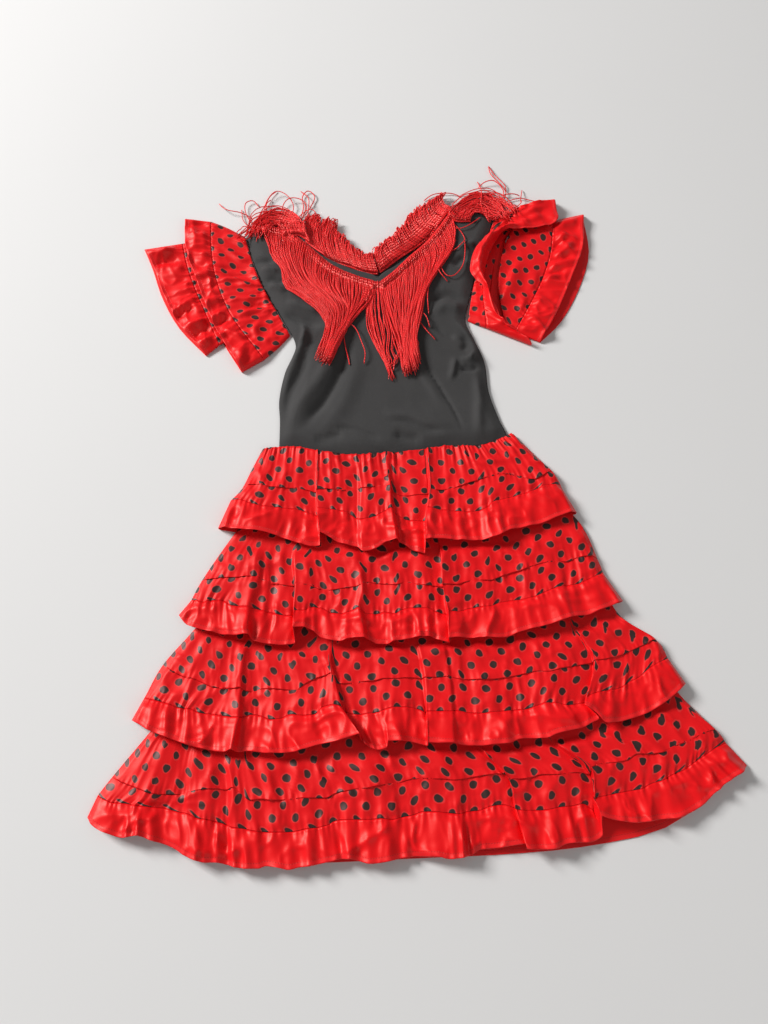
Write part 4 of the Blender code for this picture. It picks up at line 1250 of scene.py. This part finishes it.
def station_lines(tier):
    """The tier's lines as curves across it through its stations, and the rise along each: arrays of
    line × column × (x, y), and line × column."""
    table = np.array(TIER_FOLDS[tier.name], float)
    top = table[:, 0]
    tuck, seam, edge = table[:, 1:3], table[:, 3:5], table[:, 5:7]
    tuck_rise, seam_rise, edge_rise = table[:, 7:].T
    if tier.number == 1:
        gather_x, emerge_x = top, 0.5 * (top + tuck[:, 0])
    else:
        share = (top - top[0]) / (top[-1] - top[0])
        gather_x, emerge_x = tier.gather.left + share * (tier.gather.right - tier.gather.left), top
    gather = np.column_stack([gather_x, level_at(tier.gather, gather_x)])
    emerge = np.column_stack([emerge_x, level_at(tier.emerge, emerge_x)])
    lines = np.stack([gather, emerge, tuck, seam, edge])
    rises = np.stack([0.3 * tuck_rise, 0.75 * tuck_rise, tuck_rise, seam_rise, edge_rise])
    solid = np.concatenate([lines, rises[:, :, None]], axis=2)
    step = np.linalg.norm(np.diff(solid[2:], axis=1), axis=2).mean(axis=0)
    knots = np.concatenate([[0.0], np.cumsum(np.maximum(step, 0.8))])
    turn = np.array([0.0, 0.3, 0.9, 1.9, 3.2])
    inner = np.linspace(SIDE_TURN, knots[-1] - SIDE_TURN, int(knots[-1] / COLUMN_STEP))
    at = np.concatenate([turn, inner, (knots[-1] - turn)[::-1]])
    curves = np.stack([
        np.stack([between_stations(knots, line[:, k], at) for k in range(3)], axis=-1)
        for line in solid
    ])
    return curves[:, :, :2], curves[:, :, 2], at


def band_relief(tier, place, away, from_tuck, plan, sizes):
    """Fine relief of a band: gathers that run from its top and merge on the way down, the tuck's lip, and
    small puckers at the tuck and at the seam."""
    seed = 20 * tier.number
    place = np.broadcast_to(place, away.shape)
    to_seam = away[-1:] - away
    ease = smooth(to_seam / RELIEF_FADE)
    rise = gathers(place, away, BAND_GATHERS, seed) * ease
    rise = rise + gathers(place, to_seam, SEAM_GATHERS, seed + 3)
    rise = rise + gathers(place, np.abs(from_tuck), TUCK_GATHERS, seed + 5)
    lip = np.where(from_tuck <= 0.01, np.exp(np.minimum(from_tuck, 0.0) / 6.0), 0.0)
    lip = LIP_RISE * lip * smooth(0.55 + 0.75 * wander(place / 13.0, seed + 6))
    return sizes.gathers * rise + crumple(plan, BAND_CRUMPLES, seed) * ease, lip


def ruffle_relief(seed, place, away, plan, sizes, depth, pitch):
    """Fine relief of a ruffle: puckers at its seam, small waves that grow towards its edge, creases of
    soft satin, and a thin rolled hem."""
    place = np.broadcast_to(place, away.shape)
    phase = place / pitch + 0.55 * wander(place / (1.8 * pitch), seed + 13)
    wave = (0.5 + 0.5 * np.cos(math.tau * phase)) ** 1.4
    strength = 0.62 + 0.38 * wander(place / (1.5 * pitch), seed + 15)
    swell = depth * strength * wave * smooth(1.6 * (away / away[-1:]))
    soft = crumple(plan, RUFFLE_CRUMPLES, seed + 16) * smooth(away / 10.0)
    hem = HEM_RISE * np.exp(-(((away[-1:] - away - 1.0) / HEM_WIDTH) ** 2))
    return sizes.gathers * (gathers(place, away, SEAM_GATHERS, seed + 3) + swell) + soft + hem


def make_tier(tier, sizes):
    """A tier of the skirt: its band, whose folds fade in under the tier above and step down at the tuck,
    and the ruffle sewn to it."""
    curves, rises, place = station_lines(tier)
    rises = FOLD_LIFT * sizes.folds * rises
    under = under_places(34, place[-1])
    lines = (tier.gather, tier.emerge, tier.tuck, tier.seam)
    down = row_places(lines, SKIRT_ROW, TUCK_ROWS)
    plan = through(curves[:4], down)
    away = run_length(plan)
    at_tuck = int(np.searchsorted(down, 2.0 / 3.0 - 1e-4))
    from_tuck = away - away[at_tuck]
    fine, lip = band_relief(tier, place, away, from_tuck, plan, sizes)
    rise = through(rises[:4], down) + fine
    if tier.number > 1:
        hidden = np.linalg.norm(curves[1] - curves[0], axis=1)
        rise = rise * (0.2 + 0.8 * smooth((away - hidden + 3.0) / 15.0))
    overhang = TUCK_OVERHANG * np.exp(-((from_tuck / 2.5) ** 2))
    overhang = overhang * (np.arange(len(down)) <= at_tuck)[:, None]
    plan[:, :, 1] -= overhang * smooth((np.minimum(place, place[-1] - place) - 4.0) / RELIEF_FADE)
    tube(
        tier.name + "_band", lines, lines, down, plan, rise + lip, under, 7.0 * tier.number, sizes,
        tuck=at_tuck + 1,
    )
    start = tier.seam._replace(levels=[level - SEAM_GAP for level in tier.seam.levels])
    lines = (start, tier.edge)
    under_lines = (start, tier.edge._replace(levels=tier.under_edge))
    down = row_places(lines, RUFFLE_ROW, HEM_ROWS)
    curves[3, :, 1] -= SEAM_GAP
    plan = through(curves[3:], down)
    away = run_length(plan)
    wave = (tier.wave, SKIRT_WAVE_PITCH)
    rise = through(rises[3:], down) + ruffle_relief(20 * tier.number, place, away, plan, sizes, *wave)
    tube(tier.name + "_ruffle", lines, under_lines, down, plan, rise, under, 3.0, sizes)


def cuff_points(line):
    """Five places of a sleeve's line, from the shoulder fold to the underarm fold."""
    return through(line_points(line), np.linspace(0.0, 1.0, 5))


def outward(first, last):
    """The direction from each of five places of one line to that place of another."""
    return unit(cuff_points(last) - cuff_points(first))


def moved_places(line, towards, gap):
    """A sleeve's line moved a little towards another, so that sewn pieces don't touch."""
    return line._replace(places=line_points(line) + gap * outward(line, towards))


def dropped(lines, run):
    """The lower layer's lines: the middle of each reaches past the upper one's by its drop."""
    bow = np.sin(math.pi * np.linspace(0.0, 1.0, 5))[:, None]
    return [line._replace(places=cuff_points(line) + run * bow * line.drop) for line in lines]


def make_sleeve(sleeve, sizes):
    """A tier of a sleeve: its band, and the ruffle sewn to it, which stands up where it has a cup."""
    seed = 20 * sleeve.seed
    band = list(sleeve.lines[:-1])
    if sleeve.name.endswith("tier1"):
        band[0] = moved_places(band[0], band[1], ARMHOLE_GAP)
    run = outward(band[0], band[-1])
    width = run_length(line_points(band[-1]))[-1]
    over = column_places(int(1.15 * width / COLUMN_STEP), width)
    under = under_places(24, width)
    down = row_places(band, SLEEVE_ROW)
    plan = layer_plan(band, over, down)
    away = run_length(plan)
    to_seam = away[-1:] - away
    place = np.broadcast_to(over * width, away.shape)
    rise = gathers(place, away, SLEEVE_GATHERS, seed) + crumple(plan, SLEEVE_CRUMPLES, seed)
    if sleeve.name.endswith("tier2"):
        rise = HIDDEN_RELIEF * rise
    rise = rise + sizes.folds * crease_relief(plan, SLEEVE_CREASES.get(sleeve.name + "_band", ()))
    rise = rise * smooth(to_seam / RELIEF_FADE)
    rise = rise + sizes.gathers * gathers(place, to_seam, SEAM_GATHERS, seed + 3)
    tube(
        sleeve.name + "_band", band, dropped(band, run), down, plan, rise, under, 5.0, sizes,
        sleeve.mirrored,
    )
    lines = (moved_places(sleeve.lines[-2], sleeve.lines[-1], SEAM_GAP), sleeve.lines[-1])
    down = row_places(lines, RUFFLE_ROW, HEM_ROWS)
    plan = layer_plan(lines, over, down)
    away = run_length(plan)
    wave = (SLEEVE_WAVE, SLEEVE_WAVE_PITCH)
    rise = ruffle_relief(seed, over * width, away, plan, sizes, *wave)
    folded = crease_relief(plan, SLEEVE_CREASES[sleeve.name + "_ruffle"])
    rise = rise + sizes.folds * folded * smooth(away / RELIEF_FADE)
    stand = smooth((over - 0.14) / 0.2) * smooth((1.0 - over) / 0.25)
    roll = smooth(down / 0.5) * (1.0 - 0.7 * smooth((down - 0.5) / 0.5))
    rise = rise + sleeve.cup * roll[:, None] * stand
    tube(
        sleeve.name + "_ruffle", lines, dropped(lines, run), down, plan, rise, under, 2.0, sizes,
        sleeve.mirrored,
    )


def front_height(plan):
    """Height of the front panel's lower face: a gap over the back panel, some slack, and creases."""
    x, y = plan.T
    levels = BELOW_THE_V + FRONT_V
    left = np.interp(y, [a.left[1] for a in levels], [a.left[0] for a in levels])
    right = np.interp(y, [a.right[1] for a in levels], [a.right[0] for a in levels])
    from_edge = np.clip(np.minimum(x - left, right - x) / SLACK_REACH, 0.0, 1.0)
    from_waist = np.clip((y - level_at(TIERS[0].gather, x)) / SLACK_REACH, 0.0, 1.0)
    slack = PANEL_FULLNESS + CREASE_LIFT * crease_relief(plan, JERSEY_CREASES)
    slack = slack + crumple(plan, JERSEY_CRUMPLES, 91)
    return PANEL_GAP + smooth(from_edge) ** 0.6 * smooth(from_waist) ** 0.8 * np.maximum(slack, 0.25)


def make_panel(name, levels, rows, columns, sizes):
    """A bodice panel: each half is lofted from its outer edge to the middle and to the neck's edge. The
    back one lies flat, and the front one has its creases."""
    places = np.linspace(0.0, 1.0, rows)
    edges = through(np.array(levels, float), places)[:, :, None]
    edge_left, neck_left, neck_right, edge_right = edges.transpose(1, 0, 2, 3)
    steps = np.linspace(0.0, 1.0, columns)[:, None]
    left = edge_left + (neck_left - edge_left) * steps
    right = neck_right + (edge_right - neck_right) * steps
    apex = sum(a.neck_left == a.neck_right for a in levels) - 1
    apex_row = round(apex * (rows - 1) / (len(levels) - 1))
    index = np.arange(2 * rows * columns).reshape(2, rows, columns)
    index[1, : apex_row + 1, 0] = index[0, : apex_row + 1, -1]
    flat = np.concatenate([left, right]).reshape(-1, 2)
    waist = level_at(TIERS[0].gather, flat[:, 0]) + WAIST_GAP
    from_waist = np.tile(np.repeat(places, columns), 2)
    flat[:, 1] += (waist - flat[:, 1]) * (1.0 - smooth(from_waist / 0.04))
    height = np.full(len(flat), WALL_ROOM)
    if name == "bodice_front":
        height = height + front_height(flat)
    quads = [index[:, :-1, :-1], index[:, :-1, 1:], index[:, 1:, 1:], index[:, 1:, :-1]]
    used, faces = np.unique(np.stack(quads, axis=-1), return_inverse=True)
    faces = faces.reshape(-1, 4)
    points = np.column_stack([flat, height])[used]
    made = cloth_object(
        name + "_cloth", points, faces, {"cloth": points[:, :2]}, faces, "charcoal_jersey",
        [name],
    )
    give_wall(made, sizes.wall * JERSEY_WALL)


# Fringe.


def height_map(objects):
    """Highest point of some pieces over each cell of the plan, spread to the neighbouring cells."""
    graph = bpy.context.evaluated_depsgraph_get()
    shape = (GROUND_SIZE / GROUND_CELL).astype(int)
    ground = np.zeros(shape)
    for made in objects:
        mesh = made.evaluated_get(graph).to_mesh()
        points = np.empty(len(mesh.vertices) * 3, np.float32)
        mesh.vertices.foreach_get("co", points)
        made.evaluated_get(graph).to_mesh_clear()
        points = points.reshape(-1, 3) / MM - PLAN_OFFSET
        cells = ((points[:, :2] - GROUND_LOW) / GROUND_CELL).astype(int)
        inside = ((cells >= 0) & (cells < shape)).all(axis=1)
        np.maximum.at(ground, tuple(cells[inside].T), points[inside, 2])
    spread = ground.copy()
    for shift in ((dx, dy) for dx in (-1, 0, 1) for dy in (-1, 0, 1)):
        spread = np.maximum(spread, np.roll(ground, shift, (0, 1)))

    def read(plan):
        cells = ((plan - GROUND_LOW) / GROUND_CELL).astype(int)
        return spread[tuple(np.moveaxis(np.clip(cells, 0, shape - 1), -1, 0))]

    return read


def guide_curves(stretch):
    """Curves from root to tip for each guide, resampled evenly along their length."""
    curves = []
    for guide in stretch.guides:
        fine = through(guide, np.linspace(0, 1, 120))
        length = run_length(fine)
        even = np.linspace(0, length[-1], STRAND_POINTS)
        curves.append(np.column_stack([np.interp(even, length, fine[:, k]) for k in (0, 1)]))
    return np.array(curves)


def smooth_rows(values, times):
    """Running mean along each row, repeated, with the ends held."""
    for _ in range(times):
        padded = np.concatenate([values[:, :1], values, values[:, -1:]], axis=1)
        values = (padded[:, :-2] + padded[:, 1:-1] + padded[:, 2:]) / 3.0
    return values


def cord_mesh(paths, radius):
    """Round cords along paths (count × points × 3): a circle is carried along each path on a frame built
    from its direction and the upright. Returns points, faces, the UV map and its corners."""
    count, rows = paths.shape[:2]
    run = unit(np.gradient(paths, axis=1))
    side = unit(np.cross(run, np.array([0.0, 0.0, 1.0])))
    up = np.cross(side, run)
    angle = (np.arange(CORD_SIDES) * math.tau / CORD_SIDES)[:, None]
    taper = np.ones(rows)
    taper[[0, -1]] = 0.55
    circle = np.cos(angle) * side[:, :, None] + np.sin(angle) * up[:, :, None]
    rings = paths[:, :, None] + radius[:, None, None, None] * taper[:, None, None] * circle
    turn = np.arange(CORD_SIDES + 1) / CORD_SIDES / MM
    around, along = np.broadcast_arrays(turn, run_length(paths, 1)[:, :, None])
    cloth = np.stack([around, along], axis=-1).reshape(-1, 2)
    faces, corners = wound_faces(count, rows, CORD_SIDES)
    return rings.reshape(-1, 3), faces, cloth, corners


def close_ends(mesh):
    """Fills the open ends of the cords."""
    work = bmesh.new()
    work.from_mesh(mesh)
    open_edges = [edge for edge in work.edges if edge.is_boundary]
    bmesh.ops.holes_fill(work, edges=open_edges, sides=8)
    bmesh.ops.recalc_face_normals(work, faces=work.faces)
    work.to_mesh(mesh)
    work.free()


def read_again(paths, shares):
    """Each path read anew at its own shares of its length."""
    return np.stack([through(path, share) for path, share in zip(paths, shares)])


def strand_paths(stretch, ground, radius):
    """Strands between a stretch's guides, each a little off its place and at a depth of its own. A looped
    one runs out along its guide and comes back beside itself, in bundles. Another lies even at the header,
    where it humps over the edge and is held down by a line of stitches, and its tip is cut where it falls."""
    seed = stretch.seed
    order = np.arange(stretch.strands)
    strand = order[:, None]
    at = (order + 0.5 + 0.25 * hashed(order, seed)) / stretch.strands
    paths = through(guide_curves(stretch), np.clip(at, 0, 1))
    length = run_length(paths, 1)[:, -1:]
    along = np.linspace(0, 1, STRAND_POINTS)[None, :]
    if stretch.looped:
        bundle = 0.88 + 0.12 * wander(strand / 8.0, seed + 60) + 0.05 * hashed(strand, seed + 61)
        reach = np.clip(np.sin(along * 0.72 * math.pi) * bundle, 0, 1)
        columns = paths.transpose(2, 1, 0).reshape(-1, stretch.strands)
        aside = np.gradient(smooth_rows(columns, 4), axis=1)
        aside = unit(aside.reshape(2, STRAND_POINTS, -1).transpose(2, 1, 0))
        turn = LOOP_TURN * smooth((along - 0.42) / 0.4) * np.sign(hashed(strand, seed + 62))
        paths = read_again(paths, reach) + aside * turn[:, :, None]
    else:
        along = along**1.35
        paths = read_again(paths, np.repeat(along, stretch.strands, axis=0))
    from_root = along * length
    for axis in (0, 1):
        swing = wander(along * 3.0 + 9.1 * strand, seed + 20 + axis)
        kink = wander(from_root / 11.0 + 3.7 * strand, seed + 22 + axis)
        shift = stretch.drift * (0.8 + 1.1 * along) * swing + 0.8 * kink
        paths[:, :, axis] += shift * smooth((from_root - 6.0) / 16.0)
    if stretch.looped:
        hump = LOOP_RISE * np.sin(math.pi * along) ** 0.8 - LOOP_DROP * smooth((along - 0.6) / 0.4)
    else:
        paths[:, -1] += (paths[:, -1] - paths[:, -2]) * hashed(strand, seed + 40) * 0.6
        hump = HEADER_RIDGES[strand % 4] * np.exp(-((from_root / HEADER_REACH) ** 6))
        for rise, middle, width in HEADER_HUMPS:
            hump = hump + rise * np.exp(-(((from_root - middle) / width) ** 2))
    depth = stretch.depth_at_root + (stretch.depth_at_tip - stretch.depth_at_root) * smooth(along * 1.2)
    sway = 0.45 * wander(along * 4.0 + 5.3 * strand, seed + 30)
    layer = (strand * 0.618034) % 1.0
    rise = np.clip(layer + sway, 0, 1) * depth + hump
    z = np.maximum(smooth_rows(ground(paths), 3) + radius + CORD_ROOM + rise, radius + 0.2)
    return np.concatenate([paths, z[:, :, None]], axis=2)


def stray_paths(strays, ground, radius, seed):
    """Loose strands along their own points, arched a little where they leave the cloth."""
    along = np.linspace(0, 1, STRAY_POINTS)
    plan = np.array([through(stray, along) for stray in strays])
    height = 3.0 + 2.5 * hashed(np.arange(len(strays)), seed)[:, None]
    arch = height * np.sin(math.pi * along) ** 0.8
    z = smooth_rows(ground(plan), 5) + radius + CORD_ROOM + arch
    return np.concatenate([plan, z[:, :, None]], axis=2)


def braid_paths(stretch, ground, radius):
    """The braid at the roots: three plaited cords whose sideways and upright places follow sines a third
    of a turn apart."""
    line = through([guide[0] for guide in stretch.guides], np.linspace(0, 1, 110))
    run = unit(np.gradient(line, axis=0))
    side = np.column_stack([-run[:, 1], run[:, 0]])
    turn = math.tau * (run_length(line) / PLAIT_PITCH + np.arange(3)[:, None] / 3.0)
    plan = line + side * np.sin(turn)[:, :, None]
    z = smooth_rows(ground(line)[None], 6) + radius + 1.0 + 0.5 * np.sin(2.0 * turn)
    return np.concatenate([plan, z[:, :, None]], axis=2)


def make_fringe(name, ground, sizes):
    """A stretch of fringe: its strands, its loose strands and the braid at its roots, as one mesh. The
    strands at the middle of the neck have no braid and no node of their own."""
    stretch = FRINGES[name]
    radius = sizes.strand / MM * 0.5
    parts = [strand_paths(stretch, ground, radius)]
    if name in STRAYS:
        parts.append(stray_paths(STRAYS[name], ground, radius, stretch.seed))
    meshes = []
    for paths in parts:
        thickness = radius * (1.0 + 0.10 * hashed(np.arange(len(paths)), stretch.seed + 50))
        meshes.append(cord_mesh(paths, thickness))
    nodes = []
    if name != "fringe_centre":
        meshes.append(cord_mesh(braid_paths(stretch, ground, radius), np.full(3, PLY_RADIUS)))
        nodes = [name]
    points, faces, cloth, corners = zip(*meshes)
    first = np.cumsum([0, *map(len, points)])
    first_corner = np.cumsum([0, *map(len, cloth)])
    made = cloth_object(
        name + "_strands", np.concatenate(points),
        np.concatenate([part + shift for part, shift in zip(faces, first)]),
        {"cloth": np.concatenate(cloth)},
        np.concatenate([part + shift for part, shift in zip(corners, first_corner)]),
        "rayon_cord", nodes,
    )
    close_ends(made.data)


# Operators.


class DRESS_OT_finishes(bpy.types.Operator):
    """Mixes the cloths' and the floor's materials"""

    bl_idname = "dress.finishes"
    bl_label = "Cloths"

    def execute(self, context):
        colours = context.scene.dress_colours
        plain_satin(colours)
        dotted_satin(colours, context.scene.dress_sizes)
        jersey(colours)
        twisted_red(colours)
        floor_finish(colours)
        return {"FINISHED"}


class DRESS_OT_skirt(bpy.types.Operator):
    """Makes the four tiers of the skirt, each a gathered band and its ruffle"""

    bl_idname = "dress.skirt"
    bl_label = "Skirt tiers"

    def execute(self, context):
        for tier in TIERS:
            make_tier(tier, context.scene.dress_sizes)
        return {"FINISHED"}


class DRESS_OT_sleeves(bpy.types.Operator):
    """Makes the tiers of both sleeves"""

    bl_idname = "dress.sleeves"
    bl_label = "Sleeves"

    def execute(self, context):
        for sleeve in SLEEVES:
            make_sleeve(sleeve, context.scene.dress_sizes)
        return {"FINISHED"}


class DRESS_OT_bodice(bpy.types.Operator):
    """Makes the bodice's back and front panels"""

    bl_idname = "dress.bodice"
    bl_label = "Bodice"

    def execute(self, context):
        sizes = context.scene.dress_sizes
        make_panel("bodice_back", BELOW_THE_V + BACK_V, 70, 40, sizes)
        make_panel("bodice_front", BELOW_THE_V + FRONT_V, 126, 70, sizes)
        return {"FINISHED"}


class DRESS_OT_fringe(bpy.types.Operator):
    """Lays the fringe over the pieces that carry it"""

    bl_idname = "dress.fringe"
    bl_label = "Fringe"

    def execute(self, context):
        bpy.context.view_layer.update()
        carriers = [
            made for made in context.scene.objects
            if made.name.startswith(("bodice", "sleeve")) and made.name.endswith("_cloth")
        ]
        if not carriers:
            raise RuntimeError("the fringe needs the bodice and the sleeves first")
        ground = height_map(carriers)
        for name in FRINGES:
            make_fringe(name, ground, context.scene.dress_sizes)
        return {"FINISHED"}


class DRESS_OT_stage(bpy.types.Operator):
    """Makes the floor, the lights and the camera"""

    bl_idname = "dress.stage"
    bl_label = "Stage"

    def execute(self, context):
        scene = context.scene
        mesh = bpy.data.meshes.new("floor")
        corners = [(x, y, FLOOR_LEVEL) for x, y in ((-4, -4), (4, -4), (4, 4), (-4, 4))]
        mesh.from_pydata(corners, [], [(0, 1, 2, 3)])
        floor = bpy.data.objects.new("floor", mesh)
        scene.collection.objects.link(floor)
        floor.data.materials.append(bpy.data.materials["pale_floor"])
        for name, place, size, power in (
            ("key_light", (-3.6, 1.7, 2.5), 1.4, 300.0),
            ("fill_light", (2.2, -2.4, 2.4), 2.4, 26.0),
        ):
            data = bpy.data.lights.new(name, "AREA")
            data.shape = "SQUARE"
            data.size = size
            data.energy = power
            light = bpy.data.objects.new(name, data)
            x, y, z = place
            light.location = place
            light.rotation_euler = (
                math.atan2(math.hypot(x, y), z), 0.0, math.atan2(-y, -x) - math.pi / 2
            )
            scene.collection.objects.link(light)
        world = bpy.data.worlds.new("soft_room")
        world.use_nodes = True
        background = world.node_tree.nodes["Background"]
        background.inputs["Color"].default_value = (1.0, 1.0, 1.0, 1.0)
        background.inputs["Strength"].default_value = 0.24
        scene.world = world
        data = bpy.data.cameras.new("camera")
        data.lens = 27.7
        data.sensor_width = 36.0
        camera = bpy.data.objects.new("camera", data)
        camera.location = (-0.0243, -0.3935, 0.800)
        camera.rotation_euler = (math.radians(22.0), 0.0, 0.0)
        scene.collection.objects.link(camera)
        scene.camera = camera
        scene.view_settings.view_transform = "Standard"
        return {"FINISHED"}


class DRESS_PT_panel(bpy.types.Panel):
    """Lists the dress's sizes, colours and makers"""

    bl_idname = "DRESS_PT_panel"
    bl_label = "Flamenco dress"
    bl_space_type = "VIEW_3D"
    bl_region_type = "UI"
    bl_category = "Dress"

    def draw(self, context):
        layout = self.layout
        for group in (context.scene.dress_sizes, context.scene.dress_colours):
            box = layout.box()
            for name in group.__annotations__:
                box.prop(group, name)
        for maker in MAKERS:
            layout.operator(maker.bl_idname)


MAKERS = (
    DRESS_OT_finishes,
    DRESS_OT_skirt,
    DRESS_OT_sleeves,
    DRESS_OT_bodice,
    DRESS_OT_fringe,
    DRESS_OT_stage,
)
CLASSES = (DressSizes, DressColours, *MAKERS, DRESS_PT_panel)


def register():
    for made in CLASSES:
        bpy.utils.register_class(made)
    bpy.types.Scene.dress_sizes = bpy.props.PointerProperty(type=DressSizes)
    bpy.types.Scene.dress_colours = bpy.props.PointerProperty(type=DressColours)


def unregister():
    del bpy.types.Scene.dress_sizes
    del bpy.types.Scene.dress_colours
    for made in reversed(CLASSES):
        bpy.utils.unregister_class(made)


def main():
    register()
    bpy.ops.dress.finishes()
    bpy.ops.dress.skirt()
    bpy.ops.dress.sleeves()
    bpy.ops.dress.bodice()
    bpy.ops.dress.fringe()
    bpy.ops.dress.stage()


if __name__ == "__main__":
    main()
